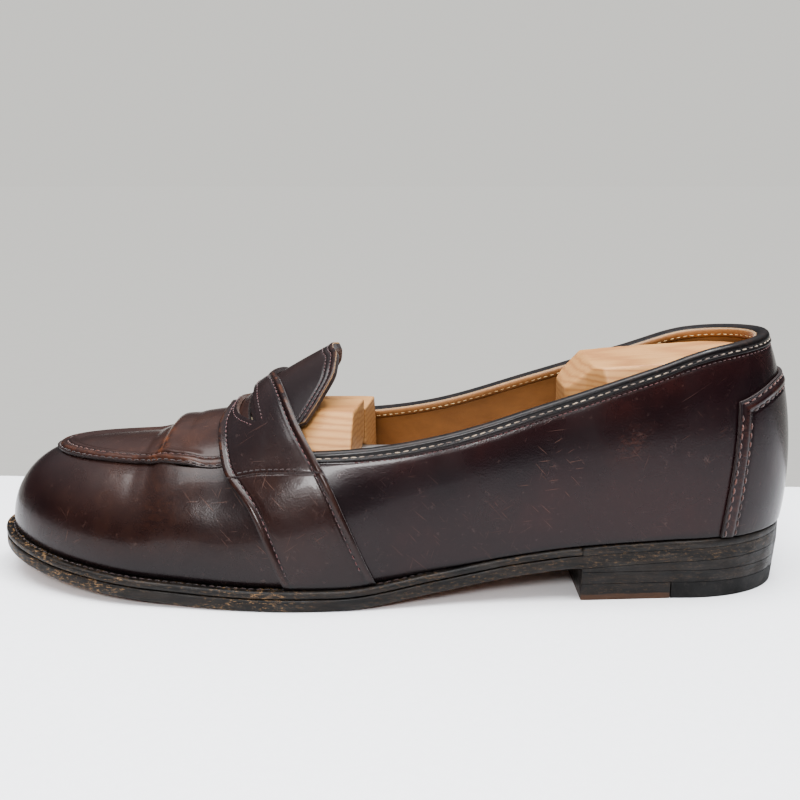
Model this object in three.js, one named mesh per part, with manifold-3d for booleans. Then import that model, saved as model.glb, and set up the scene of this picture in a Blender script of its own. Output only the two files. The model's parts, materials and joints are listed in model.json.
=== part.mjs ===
// A man's welted penny loafer, left foot, with the cedar shoe tree that keeps its shape.
// Millimetres, +Z up. The toe points to -X and the outer (lateral) side faces -Y.
// The origin is the middle of the footprint, on the floor.
import * as THREE from "three";
import Module from "manifold-3d";

const wasm = await Module();
wasm.setup();

// ---------------------------------------------------------------- driving dimensions
const soleLength = 302;
const ballHalf = 43; // half widths of the upper's feather line, on each side of its axis
const toeHalf = 35;
const outerWaistHalf = 33;
const innerWaistHalf = 27;
const heelHalf = 27.5;
const toeCap = 60; // lengths over which the toe and the heel round off in plan
const heelCap = 36;
const toeSwing = 12; // how far the toe tip lies towards the inner side

const clearance = 0.3; // between neighbouring pieces
const outsoleThick = 4.7;
const weltThick = 2.7;
const insoleThick = 3.2;
const sockThick = 1;
const fillerThick = 2.4;
const ribThick = 1.6;
const shankThick = 1.4;
const shankWidth = 16;
const toeReach = 7.6; // how far the sole's edge stands out from the feather line
const heelReach = 5;

const toeSpring = 10; // heights of the outsole's underside above the floor
const breastRise = 12.8;
const seatRise = 16.4;
const topLiftThick = 6.4;
const heelTaper = 0.09; // how far the heel's sides draw in, per millimetre of height
const nailRadius = 1;

const liningThick = 1;
const stiffenerThick = 0.6;
const stiffenerGap = 0.42; // on both faces of the puff and the stiffener
const leatherThick = 1.6;
const lapGap = 0.48; // between leathers that lap over a bend
const strapThick = 1.8;
const bindingThick = 0.8;
const bindingDepth = 5;
const bindingInside = 2.6;
const bindingGap = 0.45; // between its inner leg and the lining
const seamWidth = 5; // the raised band where two leathers lap under two rows of stitches
const slotWidth = 40;
const slotDepth = 7;

const toeHeight = 47.5; // heights of the closed last's ridge above the floor
const vampHeight = 58;
const instepHeight = 84;
const backHeight = 94; // the topline at the back
const mouthHeight = 53; // the topline where it meets the strap

const treeGap = bindingGap + bindingThick + 0.4; // between the shoe tree and the lining
const treeSeat = 0.5; // and between it and the sock
const splitGap = 4; // between the two halves of its toe
const treeMiddle = 3; // where that split and the tube run, towards the inner side
const toeBlockEnd = -13; // the outer half's rear corner; the rear faces slant back to the inner side
const toeBlockSlant = 0.13;
const innerTopDrop = 4.5; // how much lower the inner half's top is
const heelBlockFront = 66;
const heelTravel = 18; // how far the heel block is pushed in to take the tree out
const neckHalf = 17; // half width of the heel block's front
const neckLength = 22;
const heelBlockOuter = 34; // its widest reach to each side
const heelBlockInner = 19.5;
const treeToeTop = 68;
const treeHeelTop = 83.5; // the heel block's top at its front, from where it rises
const heelBlockTilt = 0.07;
const heelBlockBevel = 9; // cut from its top front edge
const tubeHeight = 43;
const tubeRadius = 6.2;
const tubeWall = 1;
const tubeInToe = 40;
const tubeOut = heelBlockFront - heelTravel - toeBlockEnd - 8; // the tube ends short of the block
const rodRadius = tubeRadius - tubeWall - 0.6;
const rodInHeel = 20;
const rodInTube = 24;
const spreadTravel = 2.4;
const pinRadius = 2.4;
const pinInWood = 16;
const heelPinRadius = 1.5;
const wireRadius = 0.55;

// ---------------------------------------------------------------- small tools
const { sin, cos, acos, PI, min, max, abs, sqrt, hypot, exp, log } = Math;
const clamp = (x, low, high) => min(max(x, low), high);
const mix = (a, b, t) => a + (b - a) * t;
const smooth = (x, from, to) => {
  const t = clamp((x - from) / (to - from), 0, 1);
  return t * t * (3 - 2 * t);
};
const vec = (x, y, z) => new THREE.Vector3(x, y, z);

// A length measured from the toe as a share of the sole, as an X coordinate.
const at = (share) => (share - 0.5) * soleLength;

// A smooth curve y(x) through a few points, level beyond its ends, that never overshoots them.
function through(points) {
  const last = points.length - 1;
  const slope = (i) => (points[i + 1][1] - points[i][1]) / (points[i + 1][0] - points[i][0]);
  const slopes = points.map((_, i) => {
    const before = slope(max(i - 1, 0));
    const after = slope(min(i, last - 1));
    return before * after > 0 ? (2 * before * after) / (before + after) : 0;
  });
  return (x) => {
    let i = 0;
    while (i < last - 1 && x > points[i + 1][0]) i++;
    const [x0, y0] = points[i];
    const [x1, y1] = points[i + 1];
    const w = x1 - x0;
    const t = clamp((x - x0) / w, 0, 1);
    const a = (2 * t + 1) * (1 - t) ** 2;
    const b = t * (1 - t) ** 2;
    const c = t * t * (3 - 2 * t);
    const d = t * t * (t - 1);
    return a * y0 + b * w * slopes[i] + c * y1 + d * w * slopes[i + 1];
  };
}

// A closed body from corner points and triangles: equal corners become one, triangles that collapse
// are dropped, and its faces are turned to point outwards.
function closedBody(corners, triangles) {
  const found = new Map();
  const unique = [];
  const index = corners.map((p) => {
    const key = [p.x, p.y, p.z].map((c) => Math.round(c * 1e4)).join();
    if (!found.has(key)) {
      found.set(key, unique.length);
      unique.push(p);
    }
    return found.get(key);
  });
  const faces = triangles
    .map((face) => face.map((i) => index[i]))
    .filter(([a, b, c]) => a !== b && b !== c && a !== c);
  const volume = faces.reduce((sum, [a, b, c]) => {
    const normal = new THREE.Vector3().crossVectors(unique[b], unique[c]);
    return sum + unique[a].dot(normal);
  }, 0);
  const turned = volume < 0 ? faces.map(([a, b, c]) => [a, c, b]) : faces;
  const geometry = new THREE.BufferGeometry().setFromPoints(unique);
  geometry.setIndex(turned.flat());
  return geometry;
}

// A body through a row of closed rings of corners. An end whose ring has shrunk to a line needs no cap.
// section lists the triangles of an end cap for rings too hollow to fill from their middle.
function loft(rings, { startCap = true, endCap = true, section = null } = {}) {
  const n = rings[0].length;
  const corners = rings.flat();
  const triangles = [];
  for (let i = 0; i < rings.length - 1; i++) {
    for (let j = 0; j < n; j++) {
      const a = i * n + j;
      const b = i * n + ((j + 1) % n);
      triangles.push([a, b, b + n], [a, b + n, a + n]);
    }
  }
  const cap = (ring, start, forward) => {
    if (section) {
      for (const face of section) {
        const [a, b, c] = face.map((i) => start + i);
        triangles.push(forward ? [a, b, c] : [a, c, b]);
      }
      return;
    }
    const middle = corners.length;
    corners.push(ring.reduce((sum, p) => sum.add(p), vec(0, 0, 0)).divideScalar(n));
    for (let j = 0; j < n; j++) {
      const a = start + j;
      const b = start + ((j + 1) % n);
      triangles.push(forward ? [middle, a, b] : [middle, b, a]);
    }
  };
  if (startCap) cap(rings[0], 0, false);
  if (endCap) cap(rings.at(-1), (rings.length - 1) * n, true);
  return closedBody(corners, triangles);
}

// A sheet over a grid of rows and columns. place(s, t, height) gives a point at that height above the
// last, and low and high give its two faces' heights. fold leaves out the last row's edge, where the
// sheet's two halves meet.
function sheet(place, rows, columns, low, high, { fold = false } = {}) {
  const corners = [];
  const width = columns + 1;
  for (const face of [low, high]) {
    for (let i = 0; i <= rows; i++) {
      for (let j = 0; j <= columns; j++) {
        const s = i / rows;
        const t = j / columns;
        corners.push(place(s, t, typeof face === "number" ? face : face(s, t)));
      }
    }
  }
  const top = width * (rows + 1);
  const triangles = [];
  const quad = (a, b, c, d) => triangles.push([a, b, c], [a, c, d]);
  for (let i = 0; i < rows; i++) {
    for (let j = 0; j < columns; j++) {
      const a = i * width + j;
      quad(a, a + width, a + width + 1, a + 1);
      quad(top + a, top + a + 1, top + a + width + 1, top + a + width);
    }
    const a = i * width;
    const b = a + columns;
    quad(a, top + a, top + a + width, a + width);
    quad(b, b + width, top + b + width, top + b);
  }
  for (let j = 0; j < columns; j++) {
    quad(j, j + 1, top + j + 1, top + j);
    const a = rows * width + j;
    if (!fold) quad(a, top + a, top + a + 1, a + 1);
  }
  return closedBody(corners, triangles);
}

const steps = (n) => Array.from({ length: n + 1 }, (_, i) => i / n);

// Geometries as manifold-3d solids and back, for cuts and joins.
function solidOf(geometry) {
  const positions = geometry.getAttribute("position");
  const order = geometry.index ? geometry.index.array : [...Array(positions.count).keys()];
  const corners = [];
  const found = new Map();
  const triVerts = Uint32Array.from(order, (i) => {
    const p = [positions.getX(i), positions.getY(i), positions.getZ(i)];
    const key = p.map((c) => Math.round(c * 1e4)).join();
    if (!found.has(key)) {
      found.set(key, corners.length / 3);
      corners.push(...p);
    }
    return found.get(key);
  });
  return new wasm.Manifold(
    new wasm.Mesh({ numProp: 3, vertProperties: Float32Array.from(corners), triVerts }),
  );
}

function geometryOf(solid) {
  const { vertProperties, triVerts } = solid.getMesh();
  const geometry = new THREE.BufferGeometry();
  geometry.setAttribute("position", new THREE.BufferAttribute(vertProperties, 3));
  geometry.setIndex(new THREE.BufferAttribute(triVerts, 1));
  return geometry;
}

const cut = (geometry, ...tools) =>
  geometryOf(tools.reduce((solid, tool) => solid.subtract(solidOf(tool)), solidOf(geometry)));

const carve = (geometry, keep, ...tools) =>
  geometryOf(
    tools.reduce(
      (solid, tool) => solid.subtract(solidOf(tool)),
      solidOf(geometry).intersect(solidOf(keep)),
    ),
  );

// A cylinder between two points.
function rod(from, to, radius, sides = 20) {
  const along = new THREE.Vector3().subVectors(to, from);
  const geometry = new THREE.CylinderGeometry(radius, radius, along.length(), sides);
  const turn = new THREE.Quaternion().setFromUnitVectors(vec(0, 1, 0), along.clone().normalize());
  geometry.applyQuaternion(turn);
  geometry.translate(...new THREE.Vector3().addVectors(from, to).multiplyScalar(0.5).toArray());
  return geometry;
}

// ---------------------------------------------------------------- the last
// The closed form that the upper is drawn over. A station runs from 0 at the heel to 0.5 at the toe
// tip on either side, and rise runs from 0 at the feather line to 1 at the ridge.
const outer = -1;
const inner = 1;
const featherToe = at(0) + toeReach;
const featherHeel = at(1) - heelReach;
const featherMiddle = (featherToe + featherHeel) / 2;
const featherHalf = (featherHeel - featherToe) / 2;

const axis = through([
  [at(0), toeSwing],
  [at(0.2), toeSwing * 0.75],
  [at(0.4), toeSwing * 0.4],
  [at(0.6), toeSwing * 0.1],
  [at(0.75), 0],
]);
const halfWidths = {
  [outer]: through([
    [at(0), toeHalf],
    [at(0.2), mix(toeHalf, ballHalf, 0.65)],
    [at(0.36), ballHalf],
    [at(0.6), outerWaistHalf],
    [at(0.85), heelHalf],
  ]),
  [inner]: through([
    [at(0), toeHalf],
    [at(0.18), mix(toeHalf, ballHalf, 0.65)],
    [at(0.31), ballHalf],
    [at(0.58), innerWaistHalf],
    [at(0.85), heelHalf],
  ]),
};

const roundOff = (past, length) => sqrt(max(1 - (max(past, 0) / length) ** 2, 0));
const halfWidth = (side, x) =>
  halfWidths[side](x) *
  roundOff(featherToe + toeCap - x, toeCap) *
  roundOff(x - featherHeel + heelCap, heelCap);

const stationAt = (x) => acos(clamp((x - featherMiddle) / featherHalf, -1, 1)) / (2 * PI);
const stationX = (station) => featherMiddle + featherHalf * cos(2 * PI * station);

// A point of the feather line in plan, moved outwards by reach.
function planEdge(side, station, reach = 0) {
  if (station < 0) return planEdge(-side, -station, reach);
  if (station > 0.5) return planEdge(-side, 1 - station, reach);
  const flat = (s, k) => {
    const x = stationX(k);
    return [x, axis(x) + s * halfWidth(s, x)];
  };
  const [x, y] = flat(side, station);
  if (!reach) return [x, y];
  const step = 1e-3;
  const ahead = station + step > 0.5 ? flat(-side, 1 - station - step) : flat(side, station + step);
  const behind = station - step < 0 ? flat(-side, step - station) : flat(side, station - step);
  const run = [ahead[0] - behind[0], ahead[1] - behind[1]];
  const size = hypot(...run);
  return [x + (side * reach * run[1]) / size, y - (side * reach * run[0]) / size];
}

// Heights along the sole: its underside, and the feather line on top of the welt.
const underside = through([
  [at(0), toeSpring],
  [at(0.1), toeSpring * 0.52],
  [at(0.22), toeSpring * 0.16],
  [at(0.35), 0],
  [at(0.44), 0],
  [at(0.56), breastRise * 0.38],
  [at(0.66), breastRise * 0.78],
  [at(0.74), breastRise],
  [at(1), seatRise],
]);
const soleTop = (x) => underside(x) + outsoleThick;
const weltTop = (x) => soleTop(x) + clearance + weltThick;
const feather = (x) => weltTop(x) + clearance;

const ridge = through([
  [at(0.1), toeHeight - 1],
  [at(0.19), toeHeight + 0.7],
  [at(0.26), mix(toeHeight, vampHeight, 0.72)],
  [at(0.3), vampHeight + 0.6],
  [at(0.36), mix(vampHeight, instepHeight, 0.52)],
  [at(0.43), instepHeight],
  [at(0.52), instepHeight + 14],
  [at(0.7), instepHeight + 28],
  [at(0.9), instepHeight + 34],
]);
const bulge = through([[at(0), 1], [at(0.3), 6], [at(0.55), 8], [at(0.9), 6.5]]);
const lift = through([[at(0), 0.38], [at(0.3), 0.47], [at(0.6), 0.45], [at(0.9), 0.43]]);
const flatness = through([[at(0), 0.84], [at(0.25), 0.78], [at(0.37), 0.52], [at(0.6), 0.6], [at(0.95), 0.82]]);
const spineToe = at(0.135);
const spineHeel = at(0.86);
const spineBlend = 9;

const softTop = (x, top) => top - spineBlend * log(1 + exp((top - x) / spineBlend));
const spineX = (x) => -softTop(-softTop(x, spineHeel), -spineToe);

function last(side, station, rise) {
  if (station < 0) return last(-side, -station, rise);
  if (station > 0.5) return last(-side, 1 - station, rise);
  const [x, y] = planEdge(side, station);
  const xTop = spineX(x);
  const foot = vec(x, y, feather(x));
  const top = vec(xTop, axis(xTop), ridge(xTop));
  const across = vec(top.x - foot.x, top.y - foot.y, 0);
  const width = across.length();
  across.divideScalar(width);
  const slope = (ridge(xTop + 1) - ridge(xTop - 1)) / 2;
  const wall = foot.clone().addScaledVector(across, -bulge(x));
  wall.z += lift(x) * (top.z - foot.z);
  const roof = top.clone().addScaledVector(across, -flatness(x) * width);
  roof.z -= flatness(x) * width * slope * across.x;
  return new THREE.CubicBezierCurve3(foot, wall, roof, top).getPoint(rise);
}

// A point at a height above the last, along its outward normal, which lies level at the feather line.
function above(side, station, rise, height) {
  const step = 1e-3;
  const here = last(side, station, rise);
  const along = last(side, station + step, rise).sub(last(side, station - step, rise));
  const up = last(side, station, min(rise + step, 1)).sub(last(side, station, max(rise - step, 0)));
  const normal = new THREE.Vector3().crossVectors(up, along).multiplyScalar(-side).normalize();
  if (rise > 0.999) {
    const x = here.x;
    normal.set(-(ridge(x + 1) - ridge(x - 1)) / 2, 0, 1).normalize();
  }
  const free = smooth(rise, 0, 0.12);
  normal.z *= free;
  const point = here.clone().addScaledVector(normal.normalize(), height);
  point.z += (1 - free) * (feather(point.x) - feather(here.x));
  return point;
}

// The rise at which a station reaches a height above the floor.
function riseAt(side, station, z) {
  let low = 0;
  let high = 1;
  for (let i = 0; i < 30; i++) {
    const middle = (low + high) / 2;
    if (last(side, station, middle).z < z) low = middle;
    else high = middle;
  }
  return (low + high) / 2;
}

// ---------------------------------------------------------------- materials
const colours = {
  cordovan: [0x3a1a1c, 0.3],
  lining: [0x9a6030, 0.6],
  canvas: [0xc9bfa4, 0.9],
  board: [0x8a6a48, 0.85],
  soleEdge: [0x1f1b18, 0.6],
  tread: [0x7a4c2c, 0.7],
  rubber: [0x161616, 0.8],
  cork: [0xa9794a, 0.95],
  steel: [0x9a9da0, 0.35, 0.9],
  brass: [0xb08d45, 0.35, 0.9],
  cedar: [0xc89868, 0.7],
};
const materials = Object.fromEntries(
  Object.entries(colours).map(([name, [color, roughness, metalness = 0]]) => [
    name,
    new THREE.MeshStandardMaterial({ color, roughness, metalness }),
  ]),
);

const loafer = new THREE.Group();
function add(name, geometry, material) {
  const mesh = new THREE.Mesh(geometry, materials[material]);
  mesh.name = name;
  loafer.add(mesh);
}

// ---------------------------------------------------------------- bottom: outsole, welt and filling
const reachAt = (x) => mix(toeReach, heelReach, smooth(x, at(0.45), at(0.68)));
const onPlan = ([x, y], z) => vec(x, y, z);

// The station on a side whose edge, moved out by reach, lies at x.
function stationWhere(side, x, reachOf) {
  let low = 0;
  let high = 0.5;
  for (let i = 0; i < 40; i++) {
    const middle = (low + high) / 2;
    if (planEdge(side, middle, reachOf(stationX(middle)))[0] > x) low = middle;
    else high = middle;
  }
  return (low + high) / 2;
}

// A slab across the whole width from one X to another, between two heights. reach may differ at its
// bottom and top. It ends in a point at the toe tip or the heel where from or to is null.
function slab(from, to, bottomOf, topOf, reachLow, reachHigh, rows) {
  const ends = (side, reachOf) => [
    to === null ? 0 : stationWhere(side, to, reachOf),
    from === null ? 0.5 : stationWhere(side, from, reachOf),
  ];
  const corner = (side, s, reachOf, heightOf) => {
    const [first, final] = ends(side, reachOf);
    const station = mix(first, final, s);
    const point = planEdge(side, station, reachOf(stationX(station)));
    return onPlan(point, heightOf(point[0]));
  };
  const rings = steps(rows).map((s) => [
    corner(outer, s, reachLow, bottomOf),
    corner(inner, s, reachLow, bottomOf),
    corner(inner, s, reachHigh, topOf),
    corner(outer, s, reachHigh, topOf),
  ]);
  return loft(rings, { startCap: to !== null, endCap: from !== null });
}

// A strip along the feather line from one side to the other, round the toe or the heel.
function edgeStrip(x, roundToe, reachIn, reachOut, bottomOf, topOf, rows) {
  const ends = [outer, inner].map((side) => stationWhere(side, x, () => 0));
  const rings = steps(rows).map((s) => {
    const share = 2 * s - 1;
    const side = share < 0 ? outer : inner;
    const end = ends[side < 0 ? 0 : 1];
    const station = roundToe ? mix(0.5, end, abs(share)) : mix(0, end, abs(share));
    const near = planEdge(side, station, reachIn(stationX(station)));
    const far = planEdge(side, station, reachOut(stationX(station)));
    return [
      onPlan(near, bottomOf(near[0])),
      onPlan(far, bottomOf(far[0])),
      onPlan(far, topOf(far[0])),
      onPlan(near, topOf(near[0])),
    ];
  });
  return loft(rings);
}

const breast = at(0.735);
const layerBottom = (x) => soleTop(x) + clearance;
add("outsole", slab(null, null, underside, soleTop, reachAt, reachAt, 44), "soleEdge");
add(
  "welt",
  edgeStrip(breast - clearance, true, () => 0, reachAt, layerBottom, weltTop, 56),
  "soleEdge",
);
add(
  "heel_rand",
  edgeStrip(breast + clearance, false, () => 0, reachAt, layerBottom, weltTop, 24),
  "soleEdge",
);
const ribOut = -clearance;
const ribIn = ribOut - ribThick;
add(
  "insole_rib",
  edgeStrip(breast - clearance, true, () => ribIn, () => ribOut, layerBottom, weltTop, 48),
  "canvas",
);

const fillReach = () => ribIn - clearance;
const fillTop = (x) => layerBottom(x) + fillerThick;
const waistCut = at(0.52);
add("cork_filler", slab(null, waistCut, layerBottom, fillTop, fillReach, fillReach, 24), "cork");
add(
  "heel_seat_filler",
  slab(at(0.79), null, layerBottom, fillTop, fillReach, fillReach, 14),
  "board",
);

function shank() {
  const from = waistCut + 1;
  const to = at(0.79) - 1;
  const rings = steps(12).map((s) => {
    const x = mix(from, to, s);
    const z = layerBottom(x) + (fillerThick - shankThick) / 2;
    const half = (shankWidth / 2) * (0.7 + 0.3 * sin(PI * s));
    const y = axis(x);
    return [
      vec(x, y - half, z),
      vec(x, y + half, z),
      vec(x, y + half, z + shankThick),
      vec(x, y - half, z + shankThick),
    ];
  });
  return loft(rings);
}
add("shank", shank(), "steel");

const insetBy = (inset) => () => -inset;
const insoleTop = (x) => feather(x) + insoleThick;
const sockTop = (x) => insoleTop(x) + clearance + sockThick;
add("insole", slab(null, null, feather, insoleTop, insetBy(0.5), insetBy(0.5), 36), "board");
add(
  "sock_liner",
  slab(at(0.42), null, (x) => insoleTop(x) + clearance, sockTop, insetBy(2), insetBy(2), 24),
  "lining",
);

// ---------------------------------------------------------------- heel: two lifts, top lift and nails
const drawnIn = (z) => (x) => reachAt(x) - heelTaper * (seatRise - z);
const splitZ = mix(topLiftThick, breastRise, 0.72);
const heelTop = (x) => underside(x) - clearance;
const level = (z) => () => z;
add(
  "heel_lift_upper",
  slab(breast, null, level(splitZ + clearance), heelTop, drawnIn(splitZ), drawnIn(seatRise), 16),
  "soleEdge",
);
add(
  "heel_lift_lower",
  slab(
    breast,
    null,
    level(topLiftThick + clearance),
    level(splitZ),
    drawnIn(topLiftThick),
    drawnIn(splitZ),
    16,
  ),
  "soleEdge",
);

// Nails stand in holes near the heel's edge, round the two pieces of the top lift.
const rubberFront = at(0.845);
const nailInset = 8;
const nailLength = topLiftThick - 1.2;
const nailSink = 0.2;
const nailSpots = [
  [outer, at(0.775)],
  [outer, at(0.82)],
  [inner, at(0.775)],
  [inner, at(0.82)],
  [outer, at(0.9)],
  [inner, at(0.9)],
].map(([side, x]) => {
  const reachOf = () => heelReach - nailInset;
  return planEdge(side, stationWhere(side, x, reachOf), heelReach - nailInset);
});
const nailHoles = nailSpots.map((spot) =>
  rod(onPlan(spot, -1), onPlan(spot, nailLength + clearance), nailRadius + clearance, 12),
);
const topLift = (from, to, rows) =>
  slab(from, to, level(0), level(topLiftThick), drawnIn(0), drawnIn(topLiftThick), rows);
add(
  "top_lift_leather",
  cut(topLift(breast, rubberFront - clearance, 6), ...nailHoles.slice(0, 4)),
  "tread",
);
add("top_lift_rubber", cut(topLift(rubberFront, null, 14), ...nailHoles.slice(4)), "rubber");
nailSpots.forEach((spot, i) => {
  add(
    `heel_nail_${i + 1}`,
    rod(onPlan(spot, nailSink), onPlan(spot, nailLength), nailRadius, 12),
    "brass",
  );
});

// ---------------------------------------------------------------- upper: where its edges run
const liningOut = liningThick;
const stiffenerIn = liningOut + stiffenerGap;
const stiffenerOut = stiffenerIn + stiffenerThick;
const leatherIn = stiffenerOut + stiffenerGap;
const leatherOut = leatherIn + leatherThick;
const lapIn = leatherOut + lapGap;
const lapOut = lapIn + leatherThick;
const strapOut = lapIn + strapThick;

// The strap's front and rear edges, as X against rise.
const strapFront = through([
  [0, at(0.381)],
  [0.3, at(0.345)],
  [0.55, at(0.309)],
  [0.8, at(0.297)],
  [1, at(0.309)],
]);
const strapRear = through([
  [0, at(0.486)],
  [0.3, at(0.441)],
  [0.6, at(0.398)],
  [1, at(0.366)],
]);
const underStrap = (rise) => mix(strapFront(rise), strapRear(rise), 0.5);

const topline = through([
  [at(0.39), mouthHeight],
  [at(0.48), mix(mouthHeight, backHeight, 0.07)],
  [at(0.57), mix(mouthHeight, backHeight, 0.19)],
  [at(0.69), mix(mouthHeight, backHeight, 0.455)],
  [at(0.81), mix(mouthHeight, backHeight, 0.73)],
  [at(0.9), mix(mouthHeight, backHeight, 0.92)],
  [at(1), backHeight],
]);
const toplineRise = (side, station) => riseAt(side, station, topline(stationX(station)));

// A share t of the way up a piece whose end slants: its station follows from its rise, and its rise
// from its top edge at that station, so the two are settled in a few rounds.
function settle(stationFor, topFor, t) {
  let rise = t / 2;
  let station = 0;
  for (let i = 0; i < 6; i++) {
    station = stationFor(rise);
    rise = t * topFor(station);
  }
  return [station, rise];
}

// The rise at which the topline runs in under the strap.
const mouthRise = toplineRise(outer, stationAt(underStrap(0.6)));

// The apron's seam: its rise along the side of the forepart.
const apronRise = through([
  [at(0), 0.72],
  [at(0.1), 0.69],
  [at(0.2), 0.63],
  [at(0.3), 0.55],
  [at(0.42), 0.5],
]);
// A length along a station's section as a share of rise there.
const riseShare = (side, station, rise, length) => {
  const step = 0.02;
  const run = last(side, station, rise + step).distanceTo(last(side, station, rise - step));
  return (length * 2 * step) / run;
};

// ---------------------------------------------------------------- upper: forepart
// Round the toe from the outer side to the inner: s runs along, t up. The columns crowd together
// towards the rear edge, where the laps end.
const crowding = 1.3;
const roundToe = (rearEdge, topRise) => (s, t) => {
  const share = 2 * s - 1;
  const side = share < 0 ? outer : inner;
  const along = 1 - (1 - abs(share)) ** crowding;
  const stationFor = (rise) => mix(0.5, stationAt(rearEdge(rise)), along);
  return [side, ...settle(stationFor, (station) => topRise(side, station), t)];
};
// Towards the strap the skirt's lap under the apron ends first, and then the apron comes down.
const apronDown = strapFront(0.6) - 7;
const lapEnd = apronDown - 9;
const lapFade = (station) => 1 - smooth(stationX(station), lapEnd - 6, lapEnd);
const raiseFade = (station) => 1 - smooth(stationX(station), lapEnd + 3, apronDown);
const skirtTop = (side, station) => {
  const seam = apronRise(stationX(station));
  const lap = lapFade(station) * (seamWidth - 1);
  return seam + riseShare(side, station, seam, lap - clearance);
};
const vampWhere = roundToe((rise) => underStrap(rise) - clearance, skirtTop);
add(
  "vamp",
  sheet((s, t, height) => above(...vampWhere(s, t), height), 40, 6, leatherIn, leatherOut),
  "cordovan",
);

// Across the forepart from side to side: s runs towards the toe tip, t across.
const acrossRise = (lowest) => (t) => 1 - (1 - lowest) * abs(1 - 2 * t);
const apronWhere = (s, t) => {
  const side = t < 0.5 ? outer : inner;
  const rough = acrossRise(0.62)(t);
  const station = mix(stationAt(underStrap(rough) - clearance), 0.5, s ** crowding);
  return [side, station, acrossRise(apronRise(stationX(station)))(t)];
};
const apronLevel = (base, raised) => (s, t) => {
  const [side, station, rise] = apronWhere(s, t);
  const seam = apronRise(stationX(station));
  const band = riseShare(side, station, seam, seamWidth);
  const share = 1 - smooth(rise, seam + band * 1.2, seam + band * 2);
  return mix(base, raised, share * raiseFade(station));
};
const apronPlace = (s, t, height) => above(...apronWhere(s, t), height);
add(
  "apron_plug",
  sheet(apronPlace, 20, 14, apronLevel(leatherIn, lapIn), apronLevel(leatherOut, lapOut), {
    fold: true,
  }),
  "cordovan",
);

// The tongue comes out from under the strap and stands up above the mouth.
const tongueEdge = through([
  [0.57, strapRear(0.57) + 1],
  [0.65, at(0.423)],
  [0.76, at(0.442)],
  [0.88, at(0.441)],
  [1, at(0.427)],
]);
const tongueLow = 0.58;
const tongueWhere = (s, t) => {
  const side = t < 0.5 ? outer : inner;
  const rise = acrossRise(tongueLow)(t);
  const x = mix(underStrap(rise) + clearance, tongueEdge(rise), s);
  return [side, stationAt(x), rise];
};
const tonguePlace = (s, t, height) => above(...tongueWhere(s, t), height);
add("tongue", sheet(tonguePlace, 5, 14, leatherIn, leatherOut), "cordovan");
add(
  "tongue_lining",
  sheet(tonguePlace, 5, 14, stiffenerIn, stiffenerOut),
  "lining",
);

const liningWhere = (s, t) => {
  const side = t < 0.5 ? outer : inner;
  const rise = 1 - abs(1 - 2 * t);
  return [side, mix(stationAt(underStrap(rise) - clearance), 0.5, s), rise];
};
add(
  "vamp_lining",
  sheet((s, t, height) => above(...liningWhere(s, t), height), 20, 14, 0, liningOut, {
    fold: true,
  }),
  "canvas",
);

// The toe puff stiffens the toe under the skirt.
const puffWhere = roundToe(level(at(0.19)), level(5 / 7));
add(
  "toe_puff",
  sheet((s, t, height) => above(...puffWhere(s, t), height), 20, 5, stiffenerIn, stiffenerOut),
  "board",
);

// ---------------------------------------------------------------- upper: back part
// The counter cover's front edge and top edge, as seen from the side.
const counterFrontX = (rise) => mix(at(0.899), at(0.915), smooth(rise, 0, 0.5));
const counterTopZ = (x) => mix(backHeight - 22, backHeight - 14.5, smooth(x, at(0.9), featherHeel));
// Round the heel from the outer side to the inner, up to an edge.
const roundHeel = (frontX, topRise) => (s, t) => {
  const share = 1 - 2 * s;
  const side = share > 0 ? outer : inner;
  const stationFor = (rise) => abs(share) * stationAt(frontX(rise));
  return [side, ...settle(stationFor, (station) => topRise(side, station), t)];
};
const quarterFront = (rise) => underStrap(min(rise, mouthRise)) + clearance;
const quarterWhere = roundHeel(quarterFront, toplineRise);
const backGap = clearance / 2;
for (const [name, side] of [["quarter_outer", outer], ["quarter_inner", inner]]) {
  const place = (s, t, height) => {
    const point = above(...quarterWhere(side === outer ? s / 2 : 1 - s / 2, t), height);
    point.y += side * backGap * smooth(s, 0.9, 1);
    return point;
  };
  add(name, sheet(place, 18, 5, leatherIn, leatherOut), "cordovan");
}

const counterWhere = roundHeel(counterFrontX, (side, station) =>
  riseAt(side, station, counterTopZ(stationX(station))),
);
add(
  "counter_cover",
  sheet((s, t, h) => above(...counterWhere(s, t), h), 20, 4, lapIn, lapOut),
  "cordovan",
);
const stiffenerWhere = roundHeel(level(at(0.8)), (side, station) => riseAt(side, station, backHeight - 24));
add(
  "heel_stiffener",
  sheet((s, t, h) => above(...stiffenerWhere(s, t), h), 20, 5, stiffenerIn, stiffenerOut),
  "board",
);
add(
  "quarter_lining",
  sheet((s, t, h) => above(...quarterWhere(s, t), h), 36, 5, 0, liningOut),
  "lining",
);

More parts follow.
